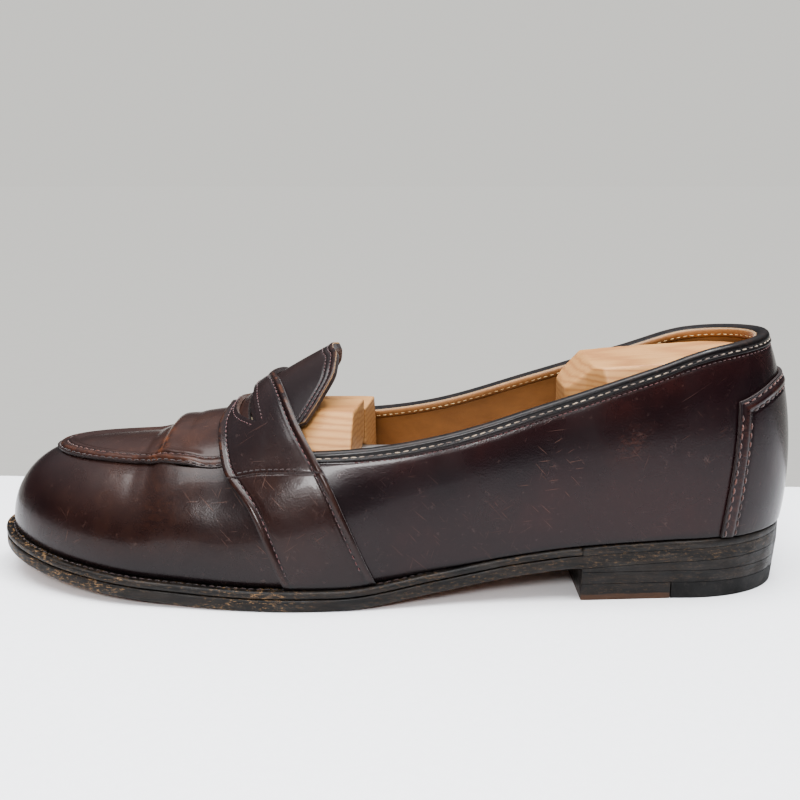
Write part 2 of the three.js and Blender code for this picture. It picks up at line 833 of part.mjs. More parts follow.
// The collar binding folds over the quarter's and the lining's top edges, from strap to strap.
function collarBinding() {
  const lowest = mouthRise - riseShare(outer, stationAt(strapRear(mouthRise)), mouthRise, bindingDepth);
  const start = stationAt(strapRear(lowest) + 7);
  const outDeep = leatherOut + clearance;
  const rings = steps(36).map((s) => {
    const share = 1 - 2 * s;
    const side = share > 0 ? outer : inner;
    const station = abs(share) * start;
    const top = toplineRise(side, station);
    const step = riseShare(side, station, top, 1);
    const spot = (down, height) => above(side, station, top - down * step, height);
    const crown = -(clearance + bindingThick);
    return [
      spot(bindingDepth, outDeep),
      spot(bindingDepth, outDeep + bindingThick),
      spot(0, outDeep + bindingThick),
      spot(crown, leatherOut),
      spot(crown, 0),
      spot(0, -bindingGap - bindingThick),
      spot(bindingInside, -bindingGap - bindingThick),
      spot(bindingInside, -bindingGap),
      spot(-clearance, -bindingGap),
      spot(-clearance, outDeep),
    ];
  });
  const outerLeg = [[0, 1, 2], [0, 2, 9]];
  const fold = [[9, 2, 3], [9, 3, 4], [9, 4, 8]];
  const innerLeg = [[8, 4, 5], [8, 5, 6], [8, 6, 7]];
  return loft(rings, { section: [...outerLeg, ...fold, ...innerLeg] });
}
add("collar_binding", collarBinding(), "cordovan");

// ---------------------------------------------------------------- upper: strap with its slot
const strapWhere = (s, t) => {
  const side = t < 0.5 ? outer : inner;
  const rise = 1 - abs(1 - 2 * t);
  return [side, stationAt(mix(strapFront(rise), strapRear(rise), s)), rise];
};
const strapPlace = (s, t, height) => above(...strapWhere(s, t), height);

// The slot is a half moon across the ridge: a round front edge and a flatter rear one.
function slotCutter() {
  const half = slotWidth / 2;
  const outline = new THREE.Shape();
  outline.moveTo(0, -half);
  outline.quadraticCurveTo(-2 * slotDepth, 0, 0, half);
  outline.quadraticCurveTo(slotDepth * 0.4, 0, 0, -half);
  const tool = new THREE.ExtrudeGeometry(outline, {
    depth: 40,
    bevelEnabled: false,
    curveSegments: 10,
  });
  const x = mix(strapFront(1), strapRear(1), 0.5);
  const slope = (ridge(x + 4) - ridge(x - 4)) / 8;
  const middle = above(outer, stationAt(x), 1, 0);
  tool.translate(0, 0, -22);
  tool.rotateY(-Math.atan(slope));
  tool.translate(middle.x, middle.y, middle.z);
  return tool;
}
add(
  "saddle_strap",
  cut(sheet(strapPlace, 4, 28, lapIn, strapOut), slotCutter()),
  "cordovan",
);

// ---------------------------------------------------------------- shoe tree: wooden blocks
const far = 300; // beyond every piece
function lastBlock() {
  const floorAt = (x) => sockTop(x) + treeSeat;
  const wall = (side, station) => {
    const low = riseAt(side, station, floorAt(stationX(station)));
    return steps(8).map((t) => above(side, station, mix(low, 1, t), -treeGap));
  };
  const rings = steps(32).map((s) => {
    const station = s / 2;
    return [...wall(outer, station), ...wall(inner, station).reverse().slice(1)];
  });
  return loft(rings, { startCap: false, endCap: false });
}
const form = lastBlock();

const onTube = (x) => vec(x, treeMiddle, tubeHeight);
const tubeFront = toeBlockEnd - tubeInToe;
const tubeRear = tubeFront + tubeInToe + tubeOut;
const rodFront = tubeRear - rodInTube;
const rodRear = heelBlockFront + rodInHeel;

// Guide pins cross the split: the rear one also holds the tube, and the others carry springs.
const pinSpots = [
  { name: "tree_tube_pin", x: tubeFront + 5, z: tubeHeight, sprung: false },
  { name: "tree_guide_pin_rear", x: tubeFront - 16, z: tubeHeight - 6, sprung: true },
  { name: "tree_guide_pin_front", x: tubeFront - 47, z: tubeHeight - 11, sprung: true },
];
const coilRadius = pinRadius + clearance + wireRadius;
const pocketRadius = coilRadius + wireRadius + clearance;
const pocketDepth = 6;
const acrossSplit = (x, z, from, to, radius) =>
  rod(vec(x, treeMiddle + from, z), vec(x, treeMiddle + to, z), radius, 16);
const pinEnd = splitGap / 2 + pinInWood;

function toeBlock(side) {
  const face = treeMiddle + (side * splitGap) / 2;
  const endAt = (y) => toeBlockEnd + toeBlockSlant * (y + outerWaistHalf);
  const plan = new THREE.Shape();
  plan.moveTo(-far, face);
  plan.lineTo(endAt(face), face);
  plan.lineTo(endAt(side * far), side * far);
  plan.lineTo(-far, side * far);
  const keep = new THREE.ExtrudeGeometry(plan, {
    depth: side === outer ? treeToeTop : treeToeTop - innerTopDrop,
    bevelEnabled: false,
  });
  const slack = side === outer ? spreadTravel : 0;
  const tools = [
    rod(onTube(tubeFront - clearance), onTube(far), tubeRadius + clearance + slack, 24),
    ...pinSpots.map(({ x, z }) =>
      acrossSplit(x, z, 0, side * (pinEnd + clearance + slack), pinRadius + clearance),
    ),
    ...pinSpots
      .filter(({ sprung }) => sprung)
      .map(({ x, z }) => acrossSplit(x, z, 0, side * (splitGap / 2 + pocketDepth), pocketRadius)),
  ];
  return carve(form, keep, ...tools);
}
add("tree_toe_outer", toeBlock(outer), "cedar");
add("tree_toe_inner", toeBlock(inner), "cedar");

function heelBlock() {
  const corner = 7;
  const front = heelBlockFront;
  const plan = new THREE.Shape();
  plan.moveTo(far, -heelBlockOuter);
  plan.lineTo(front + neckLength, -heelBlockOuter);
  plan.lineTo(front + corner, -neckHalf);
  plan.quadraticCurveTo(front, -neckHalf + corner / 3, front, -neckHalf + corner);
  plan.lineTo(front, neckHalf - corner);
  plan.quadraticCurveTo(front, neckHalf - corner / 3, front + corner, neckHalf);
  plan.lineTo(front + neckLength, heelBlockInner);
  plan.lineTo(far, heelBlockInner);
  const keep = new THREE.ExtrudeGeometry(plan, {
    depth: far,
    bevelEnabled: false,
    curveSegments: 4,
  });
  const planeAt = (x, z, angle) => {
    const cutter = new THREE.BoxGeometry(2 * far, far, far);
    cutter.translate(0, 0, far / 2);
    cutter.rotateY(-angle);
    cutter.translate(x, 0, z);
    return cutter;
  };
  const top = planeAt(front, treeHeelTop, heelBlockTilt);
  const bevel = planeAt(front, treeHeelTop - heelBlockBevel, PI / 4);
  const bore = rod(onTube(0), onTube(rodRear + clearance), rodRadius + clearance, 24);
  return carve(form, keep, top, bevel, bore, heelPin(heelPinRadius + clearance, clearance));
}
const heelPinX = heelBlockFront + rodInHeel / 2 + 2;
const heelPinHalf = 15;
function heelPin(radius, longer) {
  const reach = heelPinHalf + longer;
  return rod(
    onTube(heelPinX).setY(treeMiddle - reach),
    onTube(heelPinX).setY(treeMiddle + reach),
    radius,
    14,
  );
}
add("tree_heel_block", heelBlock(), "cedar");

// ---------------------------------------------------------------- shoe tree: tube, rod, pins, springs
function tube() {
  const inside = tubeRadius - tubeWall;
  const length = tubeRear - tubeFront;
  const profile = [
    new THREE.Vector2(0, 0),
    new THREE.Vector2(tubeRadius, 0),
    new THREE.Vector2(tubeRadius, length),
    new THREE.Vector2(inside, length),
    new THREE.Vector2(inside, tubeWall),
    new THREE.Vector2(0, tubeWall),
  ];
  const geometry = new THREE.LatheGeometry(profile, 24);
  geometry.rotateZ(-PI / 2);
  geometry.translate(...onTube(tubeFront).toArray());
  const { x, z } = pinSpots[0];
  return cut(geometry, acrossSplit(x, z, -far, far, pinRadius + clearance));
}
add("tree_tube", tube(), "steel");
add(
  "tree_rod",
  cut(rod(onTube(rodFront), onTube(rodRear), rodRadius, 20), heelPin(heelPinRadius + clearance, far)),
  "steel",
);
add("tree_heel_pin", heelPin(heelPinRadius, 0), "steel");
for (const { name, x, z } of pinSpots) {
  add(name, acrossSplit(x, z, -pinEnd, pinEnd, pinRadius), "steel");
}

class Helix extends THREE.Curve {
  constructor(from, to, radius, turns) {
    super();
    this.from = from;
    this.along = new THREE.Vector3().subVectors(to, from);
    this.radius = radius;
    this.turns = turns;
    this.side = vec(0, 0, 1);
    this.front = new THREE.Vector3().crossVectors(this.side, this.along).normalize();
  }
  getPoint(t, target = vec(0, 0, 0)) {
    const angle = 2 * PI * this.turns * t;
    return target
      .copy(this.from)
      .addScaledVector(this.along, t)
      .addScaledVector(this.side, this.radius * cos(angle))
      .addScaledVector(this.front, this.radius * sin(angle));
  }
}

function spring(from, to, radius, turns) {
  const section = new THREE.Shape().absarc(0, 0, wireRadius, 0, 2 * PI);
  const length = from.distanceTo(to);
  const inset = (wireRadius + clearance) / length;
  return new THREE.ExtrudeGeometry(section, {
    curveSegments: 2,
    steps: turns * 8,
    bevelEnabled: false,
    extrudePath: new Helix(
      from.clone().lerp(to, inset),
      to.clone().lerp(from, inset),
      radius,
      turns,
    ),
  });
}
const springSeat = pinSpots[0].x + pinRadius;
add(
  "tree_main_spring",
  spring(onTube(springSeat), onTube(rodFront), tubeRadius - tubeWall - clearance - wireRadius, 8),
  "steel",
);
const springEnd = splitGap / 2 + pocketDepth;
for (const { name, x, z, sprung } of pinSpots) {
  if (!sprung) continue;
  add(
    name.replace("guide_pin", "spread_spring"),
    spring(vec(x, treeMiddle - springEnd, z), vec(x, treeMiddle + springEnd, z), coilRadius, 4),
    "steel",
  );
}

// ---------------------------------------------------------------- the group, centred on its footprint
const box = new THREE.Box3().setFromObject(loafer);
loafer.position.set(-(box.min.x + box.max.x) / 2, -(box.min.y + box.max.y) / 2, -box.min.z);

export default loafer;
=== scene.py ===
import json
import math
import random
import bmesh
import bpy
import numpy as np
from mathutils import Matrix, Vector

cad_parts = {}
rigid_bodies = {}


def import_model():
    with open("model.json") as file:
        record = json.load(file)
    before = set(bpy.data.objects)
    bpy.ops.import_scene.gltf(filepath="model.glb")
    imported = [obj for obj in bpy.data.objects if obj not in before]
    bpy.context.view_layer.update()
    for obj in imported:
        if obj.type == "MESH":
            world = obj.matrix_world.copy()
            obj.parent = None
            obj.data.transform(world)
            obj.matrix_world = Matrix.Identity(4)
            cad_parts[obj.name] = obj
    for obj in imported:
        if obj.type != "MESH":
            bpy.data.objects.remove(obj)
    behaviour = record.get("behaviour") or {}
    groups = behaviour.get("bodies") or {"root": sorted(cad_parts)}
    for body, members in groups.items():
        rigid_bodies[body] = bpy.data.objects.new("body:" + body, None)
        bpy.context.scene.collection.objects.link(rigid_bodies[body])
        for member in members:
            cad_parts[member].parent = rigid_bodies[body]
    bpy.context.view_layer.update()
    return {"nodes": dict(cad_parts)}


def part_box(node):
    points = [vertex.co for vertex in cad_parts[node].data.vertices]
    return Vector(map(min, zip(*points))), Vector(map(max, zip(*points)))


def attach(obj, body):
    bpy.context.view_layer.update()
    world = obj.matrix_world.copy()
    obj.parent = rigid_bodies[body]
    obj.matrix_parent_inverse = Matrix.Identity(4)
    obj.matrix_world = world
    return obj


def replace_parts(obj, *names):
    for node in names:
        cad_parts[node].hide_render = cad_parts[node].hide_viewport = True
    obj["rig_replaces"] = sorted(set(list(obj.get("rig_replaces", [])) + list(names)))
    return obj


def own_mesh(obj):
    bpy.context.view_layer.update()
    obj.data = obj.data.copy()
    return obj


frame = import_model()
random.seed(7)

# The surfaces below are worked out in millimetres in the last's own frame, then moved onto the packed
# outsole and turned into metres. Outer side -Y, toe -X. u runs round the last: 0 at the heel, -0.5 or
# 0.5 at the toe tip, negative on the outer side. rise runs from 0 at the feather line to 1 at the ridge.
SOLE = 302.0
TOE_REACH, HEEL_REACH = 7.6, 5.0
CLEAR = 0.3
OUTSOLE, WELT = 4.7, 2.7
LINING_OUT = 1.0
BACKING_IN = 1.42
LEATHER_IN, LEATHER_OUT = 2.44, 4.04
LAP_IN, LAP_OUT, STRAP_OUT = 4.2, 5.5, 5.8
BREAST_RISE, SEAT_RISE, TOP_LIFT = 12.8, 16.4, 6.4
BACK, MOUTH = 94.0, 53.0
BINDING_DEPTH, BINDING_IN = 3.5, 2.6
TREE_GAP, TREE_ABOVE_SOCK = 1.65, 1.5
SOCK_TOP = 3.5


def at(share):
    return (share - 0.5) * SOLE


def mix(a, b, t):
    return a + (b - a) * t


def smooth(x, start, end):
    t = np.clip((x - start) / (end - start), 0, 1)
    return t * t * (3 - 2 * t)


def bump(x, middle, width):
    return np.exp(-(((x - middle) / width) ** 2))


def through(*points):
    """A smooth curve y(x) through points that never overshoots them."""
    px, py = np.array(points, float).T
    secant = np.diff(py) / np.diff(px)
    before = np.concatenate([secant[:1], secant])
    after = np.concatenate([secant, secant[-1:]])
    same = before * after > 0
    slopes = np.where(same, 2 * before * after / np.where(same, before + after, 1), 0)

    def curve(x):
        x = np.asarray(x, float)
        i = np.clip(np.searchsorted(px, x, side="right") - 1, 0, len(px) - 2)
        w = px[i + 1] - px[i]
        t = np.clip((x - px[i]) / w, 0, 1)
        return (
            (2 * t + 1) * (1 - t) ** 2 * py[i]
            + t * (1 - t) ** 2 * w * slopes[i]
            + t * t * (3 - 2 * t) * py[i + 1]
            + t * t * (t - 1) * w * slopes[i + 1]
        )

    return curve


# ------------------------------------------------------------------ the last
FEATHER_TOE, FEATHER_HEEL = at(0) + TOE_REACH, at(1) - HEEL_REACH
MIDDLE, HALF = (FEATHER_TOE + FEATHER_HEEL) / 2, (FEATHER_HEEL - FEATHER_TOE) / 2
axis = through((at(0), 12), (at(0.2), 9), (at(0.4), 4.8), (at(0.6), 1.2), (at(0.75), 0))
half_outer = through(
    (at(0), 35), (at(0.2), 40.2), (at(0.36), 43), (at(0.6), 33), (at(0.85), 27.5)
)
half_inner = through(
    (at(0), 35), (at(0.18), 40.2), (at(0.31), 43), (at(0.58), 27), (at(0.85), 27.5)
)
underside = through(
    (at(0), 10), (at(0.1), 5.2), (at(0.22), 1.6), (at(0.35), 0), (at(0.44), 0),
    (at(0.56), BREAST_RISE * 0.38), (at(0.66), BREAST_RISE * 0.78), (at(0.74), BREAST_RISE),
    (at(1), SEAT_RISE),
)
ridge = through(
    (at(0.1), 46.5), (at(0.19), 47.8), (at(0.212), 49.4), (at(0.238), 54.4), (at(0.264), 56.6),
    (at(0.3), 58.6), (at(0.36), 71.52),
    (at(0.43), 84), (at(0.52), 98), (at(0.7), 112), (at(0.9), 118),
)
bulge = through((at(0), 1), (at(0.3), 6), (at(0.55), 8), (at(0.9), 6.5))
lift = through((at(0), 0.38), (at(0.3), 0.47), (at(0.6), 0.45), (at(0.9), 0.43))
flatness = through((at(0), 0.84), (at(0.25), 0.78), (at(0.37), 0.52), (at(0.6), 0.6), (at(0.95), 0.82))
SPINE_TOE, SPINE_HEEL, SPINE_BLEND = at(0.135), at(0.86), 9


def sole_top(x):
    return underside(x) + OUTSOLE


def welt_top(x):
    return sole_top(x) + CLEAR + WELT


def feather(x):
    return welt_top(x) + CLEAR


def round_off(past, length):
    return np.sqrt(np.maximum(1 - (np.maximum(past, 0) / length) ** 2, 0))


def edge_flat(u):
    u = (np.asarray(u, float) + 0.5) % 1 - 0.5
    side = np.where(u < 0, -1.0, 1.0)
    x = MIDDLE + HALF * np.cos(2 * math.pi * np.abs(u))
    half = np.where(side < 0, half_outer(x), half_inner(x))
    half = half * round_off(FEATHER_TOE + 60 - x, 60) * round_off(x - FEATHER_HEEL + 36, 36)
    return x, axis(x) + side * half


def plan_edge(u, reach=0.0):
    """The feather line in plan, moved outwards by reach."""
    x, y = edge_flat(u)
    xa, ya = edge_flat(u + 1e-3)
    xb, yb = edge_flat(u - 1e-3)
    size = np.hypot(xa - xb, ya - yb)
    return x + reach * (ya - yb) / size, y - reach * (xa - xb) / size


def station_at(x):
    return np.arccos(np.clip((x - MIDDLE) / HALF, -1, 1)) / (2 * math.pi)


def x_of(u):
    return MIDDLE + HALF * np.cos(2 * math.pi * np.asarray(u))


def soft_top(x, top):
    return top - SPINE_BLEND * np.log(1 + np.exp((top - x) / SPINE_BLEND))


def last(u, rise):
    x, y = edge_flat(u)
    low = feather(x)
    xt = -soft_top(-soft_top(x, SPINE_HEEL), -SPINE_TOE)
    yt, high = axis(xt), ridge(xt)
    ax, ay = xt - x, yt - y
    width = np.hypot(ax, ay)
    ax, ay = ax / width, ay / width
    slope = (ridge(xt + 1) - ridge(xt - 1)) / 2
    flat = flatness(x) * width
    corners = [
        (x, y, low),
        (x - ax * bulge(x), y - ay * bulge(x), low + lift(x) * (high - low)),
        (xt - ax * flat, yt - ay * flat, high - flat * slope * ax),
        (xt, yt, high),
    ]
    t = np.asarray(rise, float)
    weights = [(1 - t) ** 3, 3 * t * (1 - t) ** 2, 3 * t * t * (1 - t), t**3]
    return np.stack([sum(w * c[i] for w, c in zip(weights, corners)) for i in range(3)], -1)


def above(u, rise, height):
    """A point at a height above the last, along its outward normal, level at the feather line."""
    u, rise, height = np.broadcast_arrays(u, rise, height)
    here = last(u, rise)
    along = last(u + 1e-3, rise) - last(u - 1e-3, rise)
    up = last(u, np.minimum(rise + 1e-3, 1)) - last(u, np.maximum(rise - 1e-3, 0))
    normal = np.cross(along, up)
    x = here[..., 0]
    slope = (ridge(x + 1) - ridge(x - 1)) / 2
    crest = np.stack([-slope, np.zeros_like(x), np.ones_like(x)], -1)
    normal = np.where((rise > 0.999)[..., None], crest, normal)
    normal /= np.linalg.norm(normal, axis=-1, keepdims=True)
    free = smooth(rise, 0, 0.12)
    normal[..., 2] *= free
    normal /= np.linalg.norm(normal, axis=-1, keepdims=True)
    point = here + normal * height[..., None]
    point[..., 2] += (1 - free) * (feather(point[..., 0]) - feather(x))
    return point


def rise_at(u, z):
    """The rise at which the last reaches a height above the floor."""
    low, high = np.zeros(np.shape(u)), np.ones(np.shape(u))
    for _ in range(26):
        half = (low + high) / 2
        under = last(u, half)[..., 2] < z
        low, high = np.where(under, half, low), np.where(under, high, half)
    return (low + high) / 2


strap_front = through((0, at(0.381)), (0.3, at(0.345)), (0.55, at(0.309)), (0.8, at(0.297)), (1, at(0.309)))
strap_rear = through((0, at(0.486)), (0.3, at(0.441)), (0.6, at(0.398)), (1, at(0.366)))
topline = through(
    (at(0.39), MOUTH), (at(0.48), mix(MOUTH, BACK, 0.07)), (at(0.57), mix(MOUTH, BACK, 0.19)),
    (at(0.69), mix(MOUTH, BACK, 0.455)), (at(0.81), mix(MOUTH, BACK, 0.73)),
    (at(0.9), mix(MOUTH, BACK, 0.92)), (at(1), BACK),
)
apron_rise = through(
    (at(0), 0.755), (at(0.09), 0.74), (at(0.2), 0.70), (at(0.25), 0.61), (at(0.3), 0.563), (at(0.42), 0.53)
)
tongue_edge = through(
    (0.57, float(strap_rear(0.57)) + 1), (0.65, at(0.4245)), (0.76, at(0.4425)),
    (0.86, at(0.4445)), (0.93, at(0.4400)), (1, at(0.4385)),
)


def under_strap(rise):
    return (strap_front(rise) + strap_rear(rise)) / 2


def topline_rise(u):
    return rise_at(u, topline(x_of(u)))


def rise_share(u, rise, length):
    run = np.linalg.norm(last(u, rise + 0.02) - last(u, rise - 0.02), axis=-1)
    return length * 0.04 / run


def settle(u_for, top_for, T):
    rise = T / 2
    for _ in range(7):
        u = u_for(rise)
        rise = T * top_for(u)
    return u, rise


MOUTH_RISE = float(topline_rise(-station_at(under_strap(0.6))))
APRON_DOWN = float(strap_front(0.6)) - 7
LAP_END = APRON_DOWN - 9


def side_of(share):
    return np.where(share < 0, -1.0, 1.0)


def skirt_top(u):
    seam = apron_rise(x_of(u))
    lap = (1 - smooth(x_of(u), LAP_END - 6, LAP_END)) * 4
    return seam + rise_share(u, seam, lap - CLEAR)


def vamp_where(S, T):
    share = 2 * S - 1
    u_for = lambda rise: side_of(share) * mix(0.5, station_at(under_strap(rise) - CLEAR), np.abs(share))
    return settle(u_for, skirt_top, T)


def across(lowest, T):
    return 1 - (1 - lowest) * np.abs(1 - 2 * T)


def apron_where(S, T):
    side = np.where(T < 0.5, -1.0, 1.0)
    station = mix(station_at(under_strap(across(0.62, T)) - CLEAR), 0.5, S)
    return side * station, across(apron_rise(x_of(station)), T)


def tongue_where(S, T):
    rise = across(0.58, T)
    x = mix(under_strap(rise) + CLEAR, tongue_edge(rise), S)
    return np.where(T < 0.5, -1.0, 1.0) * station_at(x), rise


def strap_where(S, T):
    rise = 1 - np.abs(1 - 2 * T)
    x = mix(strap_front(rise), strap_rear(rise), S)
    return np.where(T < 0.5, -1.0, 1.0) * station_at(x), rise


def round_heel(front, top):
    def where(S, T):
        share = 2 * S - 1
        return settle(lambda rise: side_of(share) * np.abs(share) * station_at(front(rise)), top, T)

    return where


def quarter_front(rise):
    return under_strap(np.minimum(rise, MOUTH_RISE)) + CLEAR


def counter_front(rise):
    return mix(at(0.899), at(0.915), smooth(rise, 0, 0.5))


def counter_top(u):
    x = x_of(u)
    return rise_at(u, mix(BACK - 22, BACK - 14.5, smooth(x, at(0.9), FEATHER_HEEL)))


quarter_where = round_heel(quarter_front, topline_rise)
counter_where = round_heel(counter_front, counter_top)


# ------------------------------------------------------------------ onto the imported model
def outline(reach):
    return plan_edge(np.linspace(-0.5, 0.5, 2001), reach)


def sole_reach(x):
    return mix(TOE_REACH, HEEL_REACH, smooth(x, at(0.45), at(0.68)))


low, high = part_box("outsole")
rim_x, rim_y = outline(sole_reach(x_of(np.linspace(-0.5, 0.5, 2001))))
SHIFT = np.array([
    (low.x + high.x) * 500 - (rim_x.min() + rim_x.max()) / 2,
    (low.y + high.y) * 500 - (rim_y.min() + rim_y.max()) / 2,
    low.z * 1000 - float(underside(at(0.4))),
])


def metres(points):
    return (np.asarray(points, float) + SHIFT) / 1000


# ------------------------------------------------------------------ mesh tools
def linked(name, data):
    obj = bpy.data.objects.new(name, data)
    bpy.context.scene.collection.objects.link(obj)
    return obj


def new_mesh(name, points, faces, materials, indices=None, values=None, merge=0.0):
    """An object from millimetre points. values are per-point numbers for the materials."""
    data = bpy.data.meshes.new(name)
    data.from_pydata(metres(points).tolist(), [], [tuple(int(i) for i in f) for f in faces])
    for m in materials:
        data.materials.append(m)
    if indices is not None:
        data.polygons.foreach_set("material_index", np.asarray(indices, np.int32))
    for key, value in (values or {}).items():
        layer = data.attributes.new(key, "FLOAT", "POINT")
        layer.data.foreach_set("value", np.asarray(value, np.float32).ravel())
    data.polygons.foreach_set("use_smooth", np.ones(len(data.polygons), bool))
    work = bmesh.new()
    work.from_mesh(data)
    if merge:
        bmesh.ops.remove_doubles(work, verts=work.verts, dist=merge)
    bmesh.ops.recalc_face_normals(work, faces=work.faces)
    work.to_mesh(data)
    work.free()
    return linked(name, data)


def soften(obj, width, segments=2, angle=38):
    """Rounds the sharp edges of a piece."""
    edge = obj.modifiers.new("edges", "BEVEL")
    edge.width = width / 1000
    edge.segments = segments
    edge.limit_method = "ANGLE"
    edge.angle_limit = math.radians(angle)
    obj.modifiers.new("shade", "WEIGHTED_NORMAL").keep_sharp = False
    return obj


def apply_modifiers(obj):
    bpy.context.view_layer.update()
    graph = bpy.context.evaluated_depsgraph_get()
    made = bpy.data.meshes.new_from_object(obj.evaluated_get(graph))
    obj.modifiers.clear()
    obj.data = made


def carve(obj, tool, how, material_mode="INDEX"):
    """Cuts a piece with a tool, or keeps what the two share, before its other modifiers."""
    step = obj.modifiers.new("cut", "BOOLEAN")
    step.object, step.operation, step.solver = tool, how, "EXACT"
    step.material_mode = material_mode
    obj.modifiers.move(len(obj.modifiers) - 1, 0)
    apply_modifiers(obj)
    bpy.data.objects.remove(tool)


def place_on(obj, body, slot, *nodes):
    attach(obj, body)
    if nodes:
        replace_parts(obj, *nodes)
    return obj


def knots(marks, counts):
    """Grid positions between marks, with their own counts, so that edges get more rows."""
    parts = [np.linspace(a, b, n, endpoint=False) for a, b, n in zip(marks, marks[1:], counts)]
    return np.concatenate(parts + [[marks[-1]]])


def run_lengths(points, axis_number):
    step = np.linalg.norm(np.diff(points, axis=axis_number), axis=-1)
    zero = np.zeros_like(np.take(step, [0], axis_number))
    return np.concatenate([zero, np.cumsum(step, axis_number)], axis_number)


class Sheet:
    """A formed leather over a grid: its outer face, its normals, and the distances to its edges."""

    def __init__(self, where, s_list, t_list, low, high, relief=None, nudge=None):
        self.S, self.T = np.meshgrid(s_list, t_list, indexing="ij")
        self.U, self.R = where(self.S, self.T)
        base = high(self) if callable(high) else np.full(self.S.shape, high)
        flat = above(self.U, self.R, base)
        s, t = run_lengths(flat, 0), run_lengths(flat, 1)
        self.edge = {"s0": s, "s1": s[-1:] - s, "t0": t, "t1": t[:, -1:] - t}
        self.flat = flat
        top = base + (relief(self) if relief else 0)
        under = low(self) if callable(low) else np.full(self.S.shape, low)
        self.P = above(self.U, self.R, top)
        self.N = above(self.U, self.R, top + 1) - self.P
        self.Q = above(self.U, self.R, np.minimum(under, top - 0.35))
        if nudge is not None:
            self.P, self.Q = nudge(self, self.P), nudge(self, self.Q)

    def build(self, name, materials, values=None, fold=False, rounding=0.35):
        rows, columns = self.S.shape
        count = rows * columns
        grid = np.arange(count).reshape(rows, columns)
        a, b, c, d = grid[:-1, :-1], grid[1:, :-1], grid[1:, 1:], grid[:-1, 1:]
        top = np.stack([a, b, c, d], -1).reshape(-1, 4)
        faces = [top, top[:, ::-1] + count]
        kinds = [np.zeros(len(top)), np.ones(len(top))]
        rims = [grid[0], grid[:, 0], grid[:, -1]] + ([] if fold else [grid[-1]])
        for rim in rims:
            wall = np.stack([rim[:-1], rim[1:], rim[1:] + count, rim[:-1] + count], -1)
            faces.append(wall)
            kinds.append(np.full(len(wall), 2))
        points = np.concatenate([self.P.reshape(-1, 3), self.Q.reshape(-1, 3)])
        both = {k: np.concatenate([v.ravel(), v.ravel()]) for k, v in (values or {}).items()}
        obj = new_mesh(
            name, points, np.concatenate(faces), materials, np.concatenate(kinds), both,
            merge=2e-6 if fold else 0,
        )
        return soften(obj, rounding)

    def row(self, edge, distance, start=0.0, end=1.0):
        """The line on the outer face at a distance from an edge, with its normals."""
        along_t = edge[0] == "s"
        gap = self.edge[edge] if not along_t else self.edge[edge].T
        P = self.P if not along_t else self.P.transpose(1, 0, 2)
        N = self.N if not along_t else self.N.transpose(1, 0, 2)
        chosen = range(int(start * (len(gap) - 1)), int(end * (len(gap) - 1)) + 1)
        line, up = [], []
        for i in chosen:
            order = slice(None, None, -1) if edge[1] == "1" else slice(None)
            line.append([np.interp(distance, gap[i][order], P[i][order, k]) for k in range(3)])
            up.append([np.interp(distance, gap[i][order], N[i][order, k]) for k in range(3)])
        return np.array(line), np.array(up)


def loft(name, rings, materials, indices=None, values=None, caps=True, closed=False):
    """A body through rows of rings; indices give each side strip's material."""
    rings = np.asarray(rings, float)
    count, n = rings.shape[:2]
    grid = np.arange(count * n).reshape(count, n)
    if closed:
        grid = np.concatenate([grid, grid[:1]])
    ahead = np.roll(grid, -1, axis=1)
    faces = np.stack([grid[:-1], ahead[:-1], ahead[1:], grid[1:]], -1).reshape(-1, 4).tolist()
    kinds = (list(indices) if indices is not None else [0] * n) * (len(grid) - 1)
    if caps and not closed:
        faces += [grid[0].tolist(), grid[-1][::-1].tolist()]
        kinds += [0, 0]
    obj = new_mesh(name, rings.reshape(-1, 3), faces, materials, kinds, values, merge=1e-6)
    return obj


def raised(line_at, height, step=1):
    """A row for stitches: the line at a height over a surface, and the normals there."""
    line = line_at(height)
    return line, line_at(height + step) - line


def stitches(name, rows, thread, pitch=3.0, fill=0.82, radius=0.3, proud=0.12, wander=0.12):
    """Short threads laid along lines on a surface, as one mesh."""
    points, faces = [], []
    sides, rings = 6, 7
    turn = np.linspace(0, 2 * math.pi, sides, endpoint=False)
    for line, up in rows:
        length = run_lengths(line, 0)
        total = length[-1]
        for k in range(int(total / pitch)):
            start = (k + 0.5 * (1 - fill) + random.uniform(-0.04, 0.04)) * pitch
            size = pitch * fill * random.uniform(0.92, 1.04)
            t = np.linspace(0, 1, rings)
            where = np.clip(start + t * size, 0, total)
            centre = np.stack([np.interp(where, length, line[:, i]) for i in range(3)], -1)
            normal = np.stack([np.interp(where, length, up[:, i]) for i in range(3)], -1)
            normal /= np.linalg.norm(normal, axis=1, keepdims=True)
            run = np.gradient(centre, axis=0)
            run /= np.maximum(np.linalg.norm(run, axis=1, keepdims=True), 1e-9)
            cross = np.cross(normal, run)
            arch = np.sin(math.pi * np.clip(t, 0.02, 0.98)) ** 0.5
            centre = centre + normal * ((proud + radius) * arch - radius)[:, None]
            centre = centre + cross * random.uniform(-wander, wander) * (2 * t - 1)[:, None]
            r = (radius * (0.5 + 0.5 * arch))[:, None, None]
            ring = (
                centre[:, None]
                + r * np.cos(turn)[None, :, None] * normal[:, None]
                + r * np.sin(turn)[None, :, None] * cross[:, None]
            )
            first = len(points)
            points.extend(ring.reshape(-1, 3))
            for i in range(rings - 1):
                for j in range(sides):
                    a, b = first + i * sides + j, first + i * sides + (j + 1) % sides
                    faces.append((a, b, b + sides, a + sides))
            faces.append(tuple(first + j for j in reversed(range(sides))))
            faces.append(tuple(first + (rings - 1) * sides + j for j in range(sides)))
    obj = new_mesh(name, points, faces, [thread])
    return place_on(obj, "shoe", None)


